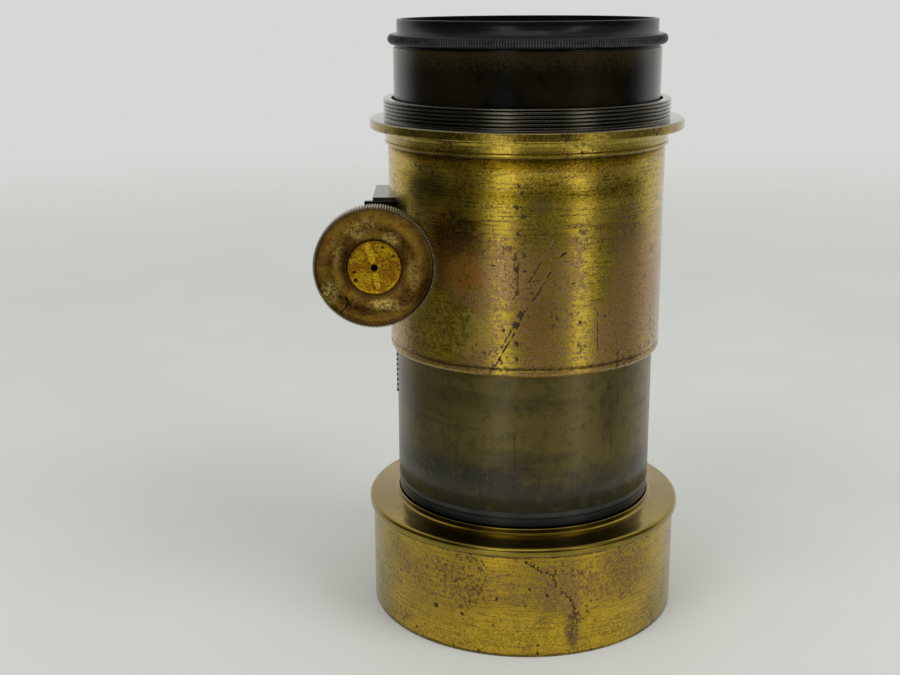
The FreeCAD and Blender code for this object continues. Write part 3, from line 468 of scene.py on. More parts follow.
def worn_brass(name, gold, olive, copper, streak, seed, spots, radius=None, grazing_shade=0.55,
               fine=False, pink=None, stains_and_shade=(), marks=(), strokes=()):
    """Colour of worn lacquered brass: turned lines, ragged copper patches, dark
    specks. pink builds the field of copper; rust, marks and strokes are tables
    placed round the barrel of the given radius, and the rust table holds stains
    and also painted shade and shadow. limb paints shade on the grazing edge.
    Returns the look and the masks its other inputs are made from."""
    look = Look(name)
    across = look.around(radius) if radius else None
    look.texture_pos = look.mapping(look.pos, shift=(seed * 37.0, seed * 11.0, seed * 5.0))
    fine_lines = look.noise(scale=1.0, detail=4.0, rough=0.7, stretch=(0.11, 0.11, 2.3))
    lines = look.noise(scale=1.0, detail=4.0, rough=0.65, stretch=(0.05, 0.05, 1.05))
    patch = look.noise(scale=0.060, detail=6.0, rough=0.62, distort=0.4)
    pepper = look.noise(*PEPPER[fine])
    grain = look.noise(*GRAIN[fine])
    # The same textures centred on zero, to make the edges of masks ragged.
    pepper_off, grain_off, line_off = pepper - 0.5, grain - 0.5, fine_lines - 0.5

    # gold with turned lines and glints
    gold_tone = look.mix(patch.rise(0.30, 0.70), gold, scaled(gold, 0.80))
    line_mask = fine_lines.rise(0.51, 0.61) * streak
    line_mask = line_mask.math("MAXIMUM", lines.rise(0.54, 0.64) * (streak * 0.85))
    if pink:
        line_mask = line_mask * (1.0 - pink(look, across).rise(0.30, 0.55) * 0.72)
    look.color = look.mix(line_mask, gold_tone, olive)
    look.paint(scaled(gold, 1.60), by=(pepper + grain_off * 0.9).rise(0.51, 0.57) * 0.75)
    look.paint(olive, by=grain.rise(0.58, 0.70) * 0.40)

    # copper patches
    field = pink(look, across) if pink else 0.0
    field = (field + (patch - 0.5) * 0.9 + pepper_off * 2.3 + grain_off * 1.3
             + line_off * 0.5)
    copper_mask = field.rise(0.48, 0.545)
    copper_tone = look.mix((grain + pepper_off * 0.6).rise(0.38, 0.60), copper,
                           scaled(copper, 0.55))
    copper_tone = look.mix(line_mask * 0.20, copper_tone, olive)
    look.paint(copper_tone, by=copper_mask * 0.92)

    # dark clouds, specks, then the stain table: rust and other stains, and painted shade and
    # shadow
    cloud = look.noise(scale=0.10, detail=4.0, rough=0.6, shift=(9, 71, 3))
    dark = (pepper * 0.7 + cloud * 0.55).rise(0.735 - 0.06 * spots, 0.775 - 0.06 * spots)
    look.paint((0.060, 0.034, 0.008), by=dark * 0.75)
    speck = look.noise(scale=2.4, detail=2.0, rough=0.5, shift=(31, 17, 7))
    speck = (speck + (patch - 0.5) * 0.5).rise(0.68 - 0.05 * spots, 0.73 - 0.05 * spots)
    look.paint((0.050, 0.024, 0.007), by=speck * 0.85)
    for *place, tone, strength in stains_and_shade:
        cover = (look.blob(across, look.z, *place) * 0.72 + pepper_off * 1.9
                 + line_off * 0.8 + grain_off * 0.8)
        look.paint(tone, by=cover.rise(0.42, 0.74) * strength)

    # pits: scattered ones, then those at stated places
    pits = look.cells(scale=0.55, shift=(7, 3, 29)).fall(0.07, 0.13)
    pick = look.noise(scale=0.15, detail=2.0, rough=0.5)
    pits = pits * pick.rise(0.62 - 0.16 * spots, 0.66 - 0.16 * spots) * 0.9
    if marks:
        warp_u = look.noise(scale=0.9, detail=2.0, rough=0.5, shift=(55, 5, 15))
        warp_z = look.noise(scale=0.9, detail=2.0, rough=0.5, shift=(15, 65, 45))
        spot_mask = look.spots(across + (warp_u - 0.5) * 1.5, look.z + (warp_z - 0.5) * 1.5,
                               [(a, b, 0.74 * size) for a, b, size in marks])
        pits = pits.math("MAXIMUM", spot_mask * 0.88)
    if strokes:
        scratches = look.lines(across + (warp_u - 0.5) * 0.5, look.z, strokes)
        pits = pits.math("MAXIMUM", scratches * pepper.rise(0.34, 0.50))
    look.paint((0.018, 0.014, 0.006), by=pits)
    # painted shade on the grazing edge, darker as the surface turns away from the view
    look.paint((0.055, 0.048, 0.030), by=look.facing() ** 1.6 * grazing_shade)

    height = (fine_lines * 0.6 + lines * 0.5 + grain * 0.30 - pits * 0.9
              + copper_mask * 0.14)
    return look, SimpleNamespace(pepper=pepper, grain=grain, grain_off=grain_off,
                                 patch=patch, copper=copper_mask, pits=pits,
                                 height=height)


def brass_rough(masks, rough):
    return (rough + masks.grain_off * 0.22 + masks.copper * 0.09
            + masks.pits * 0.25).clamped()


def finish_brass(look, masks, rough, height, aniso, coat, inside=None):
    """Set the remaining inputs; the bore within radius inside is dull black."""
    metal = (1.0 - (masks.copper * 0.16 + masks.pits * 0.6)).clamped()
    coat = (1.0 - masks.pits) * coat
    if inside:
        bore = look.radius().fall(inside - 0.10, inside + 0.10)
        look.paint((0.010, 0.010, 0.009), by=bore)
        rough = (rough + bore * 0.3).clamped()
        metal = metal * (1.0 - bore)
        coat = coat * (1.0 - bore)
    return look.finish(rough=rough, metal=metal, coat=coat, coat_rough=0.20,
                       normal=look.bump(height, strength=0.45, distance=0.05),
                       aniso=aniso, aniso_turn=0.25, tangent=look.tangent("Z"))


# ------------------------------------------------------------------ sleeve brass
# Where the copper gives way to gold: across, z, half width, half height, strength
SLEEVE_GOLD = [(-26.0, 85.5, 12.0, 12.0, 0.62), (-24.0, 118.0, 14.0, 12.0, 0.50),
               (19.2, 101.0, 4.5, 13.0, 0.42), (-4.8, 83.0, 5.5, 15.0, 0.25),
               (15.0, 85.0, 4.0, 15.0, 0.25)]

# Pits: across, z, size
SLEEVE_MARKS = [
    (-1.6, 120.5, 0.75), (-0.6, 118.9, 0.85), (-2.0, 115.4, 0.95), (-0.4, 113.2, 0.9),
    (-1.5, 109.0, 0.75), (0.0, 108.6, 0.7), (0.0, 103.9, 0.95), (-1.9, 100.6, 1.15),
    (0.1, 100.0, 0.7), (-1.8, 94.5, 0.95), (-0.9, 89.3, 1.15), (-2.0, 86.6, 1.1),
    (-1.7, 82.0, 0.95), (-1.7, 77.9, 0.85), (-18.0, 111.2, 0.95), (12.0, 96.5, 0.55),
    (20.4, 97.5, 0.5), (26.9, 91.0, 0.5), (14.1, 86.8, 0.7), (21.0, 87.5, 0.5),
    (23.8, 85.4, 0.5), (-9.7, 79.2, 0.55), (-5.0, 85.3, 0.6), (15.4, 101.7, 0.4),
    (9.2, 103.9, 0.5), (-12.0, 109.0, 0.5), (-25.0, 88.0, 0.6), (-21.0, 83.0, 0.5)]

# Scratches: across and z of each end, half width
SLEEVE_STROKES = [
    (7.3, 107.1, 6.1, 105.3, 0.13), (9.9, 104.3, 8.6, 103.5, 0.20),
    (4.5, 103.1, 1.1, 97.4, 0.12), (6.4, 99.9, 3.3, 94.5, 0.13),
    (3.3, 94.5, -0.2, 89.5, 0.18), (1.4, 97.4, 4.2, 98.0, 0.09),
    (-0.2, 89.5, -2.4, 84.2, 0.20), (-2.4, 84.2, -4.8, 80.2, 0.16),
    (-4.8, 80.2, -7.1, 75.9, 0.12), (-2.6, 86.0, -5.6, 80.6, 0.08),
    (18.8, 89.0, 19.1, 79.2, 0.09), (-1.5, 102.2, -1.7, 95.4, 0.12),
    (-9.1, 101.3, -7.2, 101.1, 0.11), (24.5, 109.5, 24.8, 104.5, 0.09)]

# Dark patches and lines, most of them stains, one partly painted shade: across, z, half width,
# half height, colour, strength
SLEEVE_STAINS_AND_SHADE = [
    (-17.0, 107.5, 11.0, 9.5, RUST, 0.85),
    (-17.5, 108.5, 9.0, 6.5, (0.045, 0.018, 0.005), 0.35),
    (-15.0, 98.5, 6.5, 7.0, (0.50, 0.195, 0.014), 0.78),
    (-14.5, 84.0, 8.5, 8.0, (0.66, 0.50, 0.050), 0.50),
    (3.5, 116.0, 4.5, 3.0, (0.30, 0.28, 0.19), 0.35),
    (26.0, 108.0, 12.0, 10.0, (0.36, 0.19, 0.060), 0.40),
    # dark patch at the upper left: partly patina, partly painted dark reflection
    (-27.0, 119.0, 9.0, 8.0, (0.06, 0.040, 0.006), 0.55),
    (2.0, 88.0, 8.0, 12.0, (0.30, 0.150, 0.050), 0.35),
    # a dark line all round, along the turned groove
    (0.0, 75.3, 200.0, 0.8, (0.07, 0.040, 0.010), 0.55)]


def sleeve_pink(look, across):
    field = look.z.rise(96.0, 122.0, 0.68, 0.14)
    for *place, strength in SLEEVE_GOLD:
        field = field - look.blob(across, look.z, *place) * strength
    return field


def sleeve_material():
    look, masks = worn_brass(
        "sleeve_brass", GOLD, OLIVE, COPPER, radius=SLEEVE_R, streak=0.75, seed=1.0,
        spots=0.45, pink=sleeve_pink, stains_and_shade=SLEEVE_STAINS_AND_SHADE, marks=SLEEVE_MARKS,
        strokes=SLEEVE_STROKES)
    return finish_brass(look, masks, rough=brass_rough(masks, 0.30), height=masks.height,
                        aniso=0.8, coat=0.42, inside=35.2)


sleeve_mat = sleeve_material()

# ------------------------------------------------------------------ hood brass
# Where copper shows: across, z, half width, half height, strength
HOOD_COPPER = [(-27.0, 19.0, 24.0, 12.0, 0.36), (24.0, 20.0, 22.0, 11.0, 0.40),
               (5.0, 19.0, 14.0, 9.0, 0.24), (13.6, 7.5, 2.6, 10.0, 0.46),
               (95.0, 15.0, 30.0, 16.0, 0.38), (-95.0, 17.0, 32.0, 15.0, 0.38)]

# A trail of pits (across, z), with a smaller one between each pair
TRAIL = [(1.1, 26.4), (3.0, 25.3), (4.9, 23.9), (7.2, 22.9), (8.2, 21.4), (8.8, 19.6),
         (10.2, 17.9), (11.8, 16.8), (13.0, 15.4), (13.6, 13.4), (13.9, 11.6)]
HOOD_MARKS = [(a, b, 0.52) for a, b in TRAIL]
HOOD_MARKS += [(0.5 * (p[0] + q[0]) + 0.35, 0.5 * (p[1] + q[1]) + 0.25, 0.42)
               for p, q in zip(TRAIL, TRAIL[1:])]
HOOD_MARKS += [
    (-23.3, 11.1, 1.0), (-15.6, 10.6, 0.7), (-27.0, 4.6, 0.6), (2.2, 19.1, 0.6),
    (6.7, 17.4, 0.6), (-0.4, 3.9, 0.5), (4.4, 3.3, 0.7), (-6.3, 16.0, 0.6),
    (4.4, 1.1, 0.6), (-11.0, 1.0, 0.7), (-18.1, 1.0, 0.7), (-30.0, 2.6, 0.6),
    (3.4, 26.0, 0.5), (8.6, 24.0, 0.5)]
HOOD_STROKES = [(1.1, 26.4, 4.9, 23.9, 0.09), (8.2, 21.4, 8.9, 19.4, 0.12),
                (12.3, 16.3, 13.9, 12.6, 0.15)]
# Stains and painted shadow: across, z, half width, half height, colour, strength
HOOD_STAINS_AND_SHADE = [(-22.0, 15.0, 24.0, 12.0, (0.22, 0.100, 0.020), 0.28),
             (13.6, 8.0, 2.3, 8.5, (0.095, 0.042, 0.012), 0.62),
             # painted shadow under the plate's overhanging edge
             (0.0, 28.4, 200.0, 1.6, (0.045, 0.026, 0.006), 0.85),
             # painted contact shadow along the bottom, where the hood stands on the floor
             (0.0, 0.0, 200.0, 1.4, (0.04, 0.022, 0.006), 0.75),
             (26.0, 18.0, 14.0, 9.0, (0.26, 0.115, 0.028), 0.28)]


def hood_pink(look, across):
    field = 0.17
    for *place, strength in HOOD_COPPER:
        field = field + look.blob(across, look.z, *place) * strength
    return field


def hood_material():
    look, masks = worn_brass(
        "hood_brass", gold=(0.58, 0.378, 0.022), olive=(0.24, 0.150, 0.008),
        copper=(0.47, 0.250, 0.066), radius=HOOD_R, streak=0.82, seed=2.0, spots=0.50,
        grazing_shade=0.45, fine=True, pink=hood_pink, stains_and_shade=HOOD_STAINS_AND_SHADE, marks=HOOD_MARKS,
        strokes=HOOD_STROKES)
    return finish_brass(look, masks, rough=brass_rough(masks, 0.30), height=masks.height,
                        aniso=0.8, coat=0.36, inside=41.0)


hood_mat = hood_material()


def plate_material():
    """Smooth brass of the hood's top plate, browner towards the XZ plane."""
    look, masks = worn_brass(
        "hood_plate_brass", gold=(0.50, 0.37, 0.035), olive=(0.17, 0.125, 0.018),
        copper=(0.26, 0.145, 0.04), streak=0.2, seed=3.0, spots=0.25, grazing_shade=0.35)
    tone = look.mix(masks.patch.rise(0.35, 0.65), (0.225, 0.160, 0.016),
                    (0.345, 0.250, 0.024))
    tone = look.mix(masks.pepper.rise(0.50, 0.72) * 0.30, tone, (0.17, 0.095, 0.016))
    tone = look.mix(abs(look.y).rise(34.0, 6.0) * 0.35, tone, (0.16, 0.095, 0.018))
    look.paint(tone, by=0.97)
    look.paint((0.02, 0.018, 0.012), by=look.radius().fall(33.2, 33.4))
    return finish_brass(look, masks, rough=0.17 + masks.pepper.rise(0.40, 0.70) * 0.08,
                        height=masks.height * 0.35, aniso=0.3, coat=0.30)


plate_mat = plate_material()

COLLAR_MARKS = [(-13.0, 132.0, 0.5), (-16.5, 131.9, 0.4), (14.0, 128.6, 0.4),
                (17.0, 128.9, 0.45), (19.5, 128.5, 0.35), (22.0, 128.8, 0.4),
                (24.0, 128.6, 0.35), (-26.0, 128.4, 0.4)]


def collar_material():
    """Brass flange; grey patina on the thread above it, with painted shade in its grooves."""
    look, masks = worn_brass(
        "collar_brass", gold=(0.47, 0.34, 0.035), olive=(0.15, 0.11, 0.014),
        copper=(0.20, 0.12, 0.04), radius=38.0, streak=0.5, seed=4.0, spots=0.45,
        marks=COLLAR_MARKS)
    above = look.z.rise(133.10, 133.45)
    patina = look.mix(masks.grain.rise(0.35, 0.65), (0.130, 0.122, 0.088),
                      (0.165, 0.154, 0.112))
    # painted shade in the thread's grooves
    groove = look.radius().fall(36.85, 37.10) * look.z.rise(133.6, 133.8)
    patina = look.mix(groove * 0.9, patina, (0.010, 0.009, 0.007))
    look.paint(patina, by=above)
    look.paint((0.03, 0.018, 0.006), by=look.z.fall(126.9, 127.25) * 0.85)
    return finish_brass(look, masks, rough=brass_rough(masks, 0.24) - above * 0.05,
                        height=masks.height * (1.0 - above * 0.92), aniso=0.6, coat=0.35)


collar_mat = collar_material()

# ------------------------------------------------------------------ dark lacquers
TUBE_MARKS = [(-1.8, 64.9, 0.8), (15.6, 59.2, 0.5), (-2.8, 63.5, 0.45), (-12.0, 60.0, 0.35),
              (23.6, 68.3, 0.9), (12.8, 58.6, 0.4), (18.0, 60.4, 0.4), (14.0, 62.0, 0.35),
              (20.0, 57.5, 0.35)]
TUBE_SEAMS = [(-2.0, 47.0, -2.2, 58.0, 0.28), (24.6, 50.0, 24.2, 68.0, 0.20)]


def tube_material():
    """Dark lacquer on brass: olive and worn below, nearly black above."""
    look = Look("lacquered_brass")
    across, z = look.around(TUBE_R), look.z
    brush = look.noise(scale=1.0, detail=4.0, rough=0.7, stretch=(2.0, 2.0, 0.10))
    patch = look.noise(scale=0.050, detail=6.0, rough=0.62, distort=0.4)
    fine = look.noise(scale=1.3, detail=5.0, rough=0.75)
    grain = look.noise(scale=4.0, detail=3.0, rough=0.7)
    brush_off, fine_off = brush - 0.5, fine - 0.5

    # lower part: grey foot, a ragged step, then the olive worn zone
    ragged = ((across / TUBE_R).math("SINE") * 3.4 + (patch - 0.5) * 22.0
              + fine_off * 9.0)
    look.color = look.mix((z + ragged).rise(44.0, 52.0), (0.040, 0.038, 0.027),
                          (0.158, 0.120, 0.032))
    look.paint((0.066, 0.056, 0.027), by=patch.rise(0.48, 0.62) * 0.42)
    gleam = look.blob(across, z, 11.0, 46.5, 16.0, 4.5) + brush_off * 2.6 + fine_off * 2.2
    look.paint((0.20, 0.150, 0.040), by=gleam.rise(0.25, 1.25) * 0.48)
    gleam = look.blob(across, z, 10.0, 60.0, 17.0, 7.0) + brush_off * 2.2
    look.paint((0.18, 0.125, 0.035), by=gleam.rise(0.25, 1.25) * 0.36)
    dark = look.blob(across, z, 24.0, 62.0, 4.5, 10.0) + brush_off * 2.8
    look.paint((0.040, 0.030, 0.012), by=dark.rise(0.25, 1.2) * 0.45)
    look.paint((0.030, 0.026, 0.012), by=brush.rise(0.56, 0.74) * 0.45)
    look.paint((0.16, 0.13, 0.055), by=brush.rise(0.46, 0.30) * 0.35)

    # upper part, browner at the top rim
    high = look.mix(patch.rise(0.42, 0.62), (0.0028, 0.0020, 0.0008), (0.012, 0.008, 0.002))
    high = look.mix((z + fine_off * 14.0).rise(146.0, 152.0) * 0.8, high,
                    (0.034, 0.026, 0.007))
    look.paint(high, by=z.rise(76.0, 137.0))

    mark = look.spots(across + fine_off * 2.4, z + fine_off * 2.0, TUBE_MARKS)
    look.paint((0.020, 0.016, 0.008), by=mark * 0.5)
    bore = look.radius().fall(33.4, 33.6)
    look.paint((0.008, 0.008, 0.008), by=bore)

    # mottling and bands that fade out upwards
    mottle = look.noise(scale=0.30, detail=5.0, rough=0.70, shift=(3, 77, 41))
    look.paint((0.050, 0.038, 0.013),
               by=mottle.rise(0.50, 0.62) * z.rise(76.0, 110.0, 0.40, 0.0))
    look.paint((0.17, 0.120, 0.030),
               by=mottle.rise(0.48, 0.38) * z.rise(76.0, 96.0, 0.30, 0.0))
    bands = look.noise(scale=1.0, detail=3.0, rough=0.6, stretch=(0.02, 0.02, 0.20),
                       shift=(5, 9, 2))
    look.paint((0.050, 0.040, 0.016),
               by=bands.rise(0.50, 0.62) * z.rise(76.0, 110.0, 0.40, 0.0))
    look.paint((0.015, 0.013, 0.008),
               by=look.lines(across, z, TUBE_SEAMS) * (brush.rise(0.40, 0.56) * 0.42))
    return look.finish(
        rough=(z.rise(76.0, 120.0, 0.43, 0.26) + fine_off * 0.14 + bore * 0.35).clamped(),
        metal=z.rise(76.0, 120.0, 0.80, 0.25) * z.rise(38.0, 50.0, 0.40, 1.0) * (1.0 - bore),
        normal=look.bump(brush * 0.6 + grain * 0.2, strength=0.15, distance=0.03),
        coat=z.rise(76.0, 120.0, 0.30, 0.45), coat_rough=z.rise(76.0, 120.0, 0.18, 0.05),
        specular=0.12)


tube_mat = tube_material()


def black_material():
    """Black lacquer, with painted highlights on the crests of the knurled bead, broken up by
    wear.
    """
    look = Look("black_lacquer")
    fine = look.noise(scale=1.8, detail=4.0, rough=0.65)
    lines = look.noise(scale=1.0, detail=2.0, rough=0.6, stretch=(0.03, 0.03, 4.0))
    wear = look.noise(scale=0.35, detail=4.0, rough=0.65, stretch=(1, 1, 2.5))
    look.color = look.mix(fine.rise(0.3, 0.7), (0.0014, 0.0018, 0.0028),
                          (0.0040, 0.0048, 0.0075))
    look.paint((0.050, 0.040, 0.022), by=wear.rise(0.68, 0.76) * 0.22)
    # painted highlights on the crests of the bead's knurl
    crest = (look.y.math("ARCTAN2", look.x) * float(BEAD_TEETH)).math("COSINE")
    crest = crest.rise(-0.1, 0.6) * look.radius().rise(35.0, 35.35)
    crest = crest * (look.z.rise(151.9, 152.5) * look.z.fall(153.6, 154.3))
    look.paint((0.060, 0.068, 0.082), by=crest * wear.rise(0.40, 0.55, 0.35, 0.95))
    return look.finish(
        rough=0.30 + fine * 0.16, metal=0.0, coat=0.40, coat_rough=0.07, specular=0.12,
        normal=look.bump(lines * 0.5 + fine * 0.2, strength=0.2, distance=0.03))


black_mat = black_material()

# ------------------------------------------------------------------ knob and hub
# Painted highlights: x and z from the pinion axis, half width, half height, strength
KNOB_HIGHLIGHTS = [(-11.0, -6.2, 2.4, 3.0, 0.9), (2.6, -9.6, 4.6, 1.7, 0.9),
             (4.0, 6.6, 2.4, 2.2, 0.7), (-4.6, 8.4, 2.6, 1.5, 0.6),
             (-2.0, 10.2, 4.0, 1.6, 0.35), (9.6, -2.4, 1.6, 4.6, 0.35),
             (-9.0, 3.4, 1.8, 4.0, 0.3)]
KNOB_SCRATCHES = [(-7.2, -7.4, -6.6, -8.8, 0.16), (-6.6, -8.8, -7.3, -10.2, 0.16),
                  (-7.3, -10.2, -8.4, -11.2, 0.14)]
HUB_MARKS = [(-4.9, -1.0, 0.42), (-4.6, -3.0, 0.62), (4.6, 2.9, 0.45), (2.1, 5.1, 0.4),
             (0.0, -4.9, 0.35)]
# Painted highlights on the hub's face: x and z of each end from the pinion axis, half width
HUB_HIGHLIGHTS = [(-0.5, 1.9, -1.5, 5.4, 0.75), (0.3, -1.8, 0.7, -4.6, 0.65)]


def from_pinion(look):
    """Position from the pinion axis: across, up, and the radius."""
    across, up = look.x - PIVOT_X, look.z - PIVOT_Z
    return across, up, length(across, up)


def knob_material():
    look = Look("knob_brass")
    across, up, radius = from_pinion(look)
    pepper = look.noise(scale=1.25, detail=6.0, rough=0.78)
    patch = look.noise(scale=0.20, detail=6.0, rough=0.66, distort=0.5)
    grain = look.noise(scale=4.5, detail=3.0, rough=0.75)
    pepper_off = pepper - 0.5
    look.color = look.mix((patch + pepper_off * 0.5).rise(0.38, 0.58),
                          (0.150, 0.064, 0.009), (0.27, 0.156, 0.017))
    look.paint((0.42, 0.28, 0.035), by=pepper.rise(0.55, 0.66) * 0.55)
    look.paint((0.040, 0.020, 0.005), by=pepper.rise(0.45, 0.34) * 0.60)
    look.paint((0.070, 0.034, 0.008), by=grain.rise(0.56, 0.66) * 0.30)
    # dark ring inside a rim painted pale as a highlight
    look.paint((0.060, 0.034, 0.010), by=(radius + pepper_off * 3.0).rise(12.6, 14.4) * 0.55)
    look.paint((0.38, 0.32, 0.19), by=radius.rise(14.35, 14.55) * 0.85)
    for *place, strength in KNOB_HIGHLIGHTS:
        # painted highlights, broken up by the speckle
        worn = (look.blob(across, up, *place)
                * (pepper + (grain - 0.5) * 0.5).rise(0.42, 0.56))
        look.paint((0.98, 0.74, 0.20), by=worn * strength)
    # painted shade in the grooves between the teeth, and a painted shadow round the hub
    wave = (up.math("ARCTAN2", across) * float(KNOB_TEETH)).math("COSINE")
    grooves = wave.rise(-0.15, 0.45) * radius.rise(14.30, 14.55)
    look.paint((0.012, 0.009, 0.005), by=grooves * 0.92)
    look.paint((0.030, 0.016, 0.006), by=(radius + pepper_off * 1.2).fall(7.2, 8.6) * 0.55)
    scratch = look.lines(across, up, KNOB_SCRATCHES)
    look.paint(SOOT, by=scratch)
    height = pepper * 1.3 + grain * 0.30 - scratch * 1.0
    return look.finish(
        rough=0.16 + pepper.rise(0.40, 0.60) * 0.16, metal=0.95,
        normal=look.bump(height, strength=0.55, distance=0.14),
        aniso=0.35, aniso_turn=0.25, tangent=look.tangent("Y"), coat=0.08, coat_rough=0.25)


knob_mat = knob_material()


def hub_material():
    look = Look("hub_brass")
    across, up, radius = from_pinion(look)
    pepper = look.noise(scale=1.1, detail=6.0, rough=0.75)
    patch = look.noise(scale=0.30, detail=5.0, rough=0.64, distort=0.3)
    grain = look.noise(scale=4.0, detail=3.0, rough=0.75)
    rings = (radius * 9.0).math("SINE")
    look.color = look.mix((patch + (pepper - 0.5) * 1.0).rise(0.40, 0.56),
                          (0.80, 0.52, 0.018), (0.50, 0.22, 0.012))
    look.paint((0.20, 0.075, 0.006), by=pepper.rise(0.53, 0.62) * 0.80)
    look.paint((0.10, 0.042, 0.005), by=grain.rise(0.55, 0.64) * 0.70)
    look.paint((0.06, 0.024, 0.004), by=pepper.rise(0.44, 0.36) * 0.85)
    mark = look.spots(across, up, HUB_MARKS)
    look.paint((0.025, 0.012, 0.004), by=mark * 0.85)
    # painted highlights on the turned face of the hub
    hub_highlight = (look.lines(across, up, HUB_HIGHLIGHTS)
             * (pepper + (grain - 0.5)).rise(0.40, 0.50))
    look.paint((1.0, 0.68, 0.030), by=hub_highlight * 0.9)
    # outer ring, then painted shade in and round the hole in the middle
    look.paint((0.20, 0.105, 0.020), by=radius.rise(6.15, 6.55) * 0.6)
    look.paint((0.008, 0.005, 0.003), by=radius.fall(0.70, 1.15))
    height = pepper * 1.2 + grain * 0.25 + rings * 0.05 - mark * 0.9
    return look.finish(
        rough=0.14 + grain * 0.22, metal=1.0,
        normal=look.bump(height, strength=0.75, distance=0.20),
        aniso=0.85, aniso_turn=0.25, tangent=look.tangent("Y"))


hub_mat = hub_material()

# ------------------------------------------------------------------ small metal parts


def bronze_material(name, dark, light, edge, rough):
    """Filed metal mottled from dark to light, with specks of the edge colour."""
    look = Look(name)
    fine = look.noise(scale=2.2, detail=4.0, rough=0.7)
    patch = look.noise(scale=0.25, detail=4.0, rough=0.6, distort=0.3)
    file_lines = look.noise(scale=1.0, detail=3.0, rough=0.6, stretch=(0.3, 4.0, 4.0))
    look.color = look.mix(patch.rise(0.35, 0.65), dark, light)
    look.paint(edge, by=fine.rise(0.55, 0.7) * 0.5)
    return look.finish(
        rough=(rough + (fine - 0.5) * 0.25).clamped(), metal=0.9, coat=0.5, coat_rough=0.2,
        normal=look.bump(file_lines * 0.5 + fine * 0.3, strength=0.30, distance=0.04))


# name, dark, light, edge, roughness
housing_mat, plate_dark_mat, screw_mat, shaft_mat, rack_mat = [bronze_material(*row) for row in (
    ("housing_bronze", (0.085, 0.080, 0.055), (0.14, 0.135, 0.10), (0.11, 0.10, 0.05), 0.34),
    ("plate_bronze", (0.012, 0.011, 0.008), (0.026, 0.023, 0.015), (0.05, 0.04, 0.02), 0.38),
    ("screw_steel", (0.06, 0.06, 0.062), (0.14, 0.14, 0.145), (0.10, 0.07, 0.04), 0.32),
    ("shaft_steel", (0.25, 0.25, 0.25), (0.42, 0.42, 0.41), (0.20, 0.14, 0.08), 0.28),
    ("rack_brass", (0.055, 0.048, 0.030), (0.12, 0.10, 0.055), (0.20, 0.15, 0.06), 0.36))]

# ------------------------------------------------------------------ glass and front cell


def glass_material():
    look = Look("lens_glass")
    haze = look.noise(scale=0.2, detail=3.0, rough=0.6)
    dust = look.cells(scale=0.5).fall(0.05, 0.09)
    look.color = (0.93, 0.97, 0.95)
    return look.finish(rough=haze.rise(0.5, 0.8, 0.0, 0.05) + dust * 0.25, metal=0.0,
                       transmission=1.0, ior=1.52)


glass_mat = glass_material()


def cell_material():
    """Front cell ring, continuing the tube's dark tone."""
    look = Look("cell_brass")
    grain = look.noise(scale=2.5, detail=5.0, rough=0.72)
    lines = look.noise(scale=1.0, detail=3.0, rough=0.65, stretch=(0.06, 0.06, 4.0))
    patch = look.noise(scale=0.08, detail=4.0, rough=0.6)
    look.color = look.mix(patch.rise(0.35, 0.65), (0.030, 0.029, 0.022),
                          (0.058, 0.055, 0.040))
    look.paint((0.014, 0.014, 0.013), by=lines.rise(0.5, 0.66) * 0.5)
    look.paint((0.12, 0.105, 0.055), by=grain.rise(0.58, 0.70) * 0.4)
    # darker below the groove, black in it
    look.paint((0.010, 0.012, 0.015), by=look.z.rise(34.7, 35.0, 0.92, 0.0))
    deep = look.radius().fall(34.05, 34.2)
    look.paint((0.004, 0.004, 0.004), by=deep)
    return look.finish(rough=0.30 + grain * 0.12, metal=(1.0 - deep) * 0.75,
                       normal=look.bump(lines, strength=0.3, distance=0.03),
                       coat=0.4, coat_rough=0.2)


cell_mat = cell_material()

# ------------------------------------------------------------------ hood and lenses
# Outlines are (r, z, corner radius) unless a comment says otherwise.


def finish_piece(obj, body, mat, slot, *nodes):
    obj.data.materials.append(mat)
    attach(obj, body)
    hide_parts(*nodes)


# hood tube, with a slightly rolled bottom rim
HOOD = [(40.50, 0.0, 0.30), (HOOD_R, 0.0, 0.40), (HOOD_R, 28.0, 0.05), (40.50, 28.0, 0.05)]
finish_piece(turn("hood_barrel", rounded(HOOD), 480),
             "lens_tube", hood_mat, "hood_brass", "hood_tube")

# hood plate with its overhanging rounded edge and the bead
HOOD_PLATE = [
    (33.05, 27.0, 0.10), (38.60, 27.0, 0.10), (38.60, 25.0, 0.10), (40.45, 25.0, 0.10),
    (40.45, 28.0, 0.0), (42.30, 28.0, 0.30), (42.72, 28.5, 0.5), (42.72, 30.40, 1.70),
    (39.2, 30.64, 1.2), (35.45, 31.0, 0.35), (34.93, 31.30, 0.12), (34.93, 32.52, 0.34),
    (34.38, 32.52, 0.16), (34.38, 32.20, 0.0), (33.95, 32.20, 0.2), (33.95, 31.2, 0.2),
    (33.05, 31.2, 0.10)]
finish_piece(turn("hood_top_plate", rounded(HOOD_PLATE, 7), 480),
             "lens_tube", plate_mat, "hood_brass", "hood_plate")

# front cell: the ring carries one groove and a step under the tube
FRONT_CELL = [
    (31.00, 18.0, 0.15), (33.00, 18.0, 0.25), (33.00, 32.72, 0.0), (34.10, 32.72, 0.12),
    (CELL_R, 33.0, 0.15), (CELL_R, 34.84, 0.10), (33.95, 35.00, 0.04), (33.95, 35.20, 0.04),
    (CELL_R, 35.36, 0.10), (CELL_R, 36.50, 0.06), (34.22, 36.60, 0.02),
    (CELL_R, 36.70, 0.03), (CELL_R, 36.82, 0.03), (32.55, 36.82, 0.0), (32.55, 42.0, 0.2),
    (30.40, 42.0, 0.2), (29.80, 36.0, 0.1), (29.80, 34.0, 0.05), (31.00, 34.0, 0.0)]
finish_piece(turn("front_cell_ring", rounded(FRONT_CELL, 3, 0.05), 480),
             "lens_tube", cell_mat, "dark_brass", "front_cell")

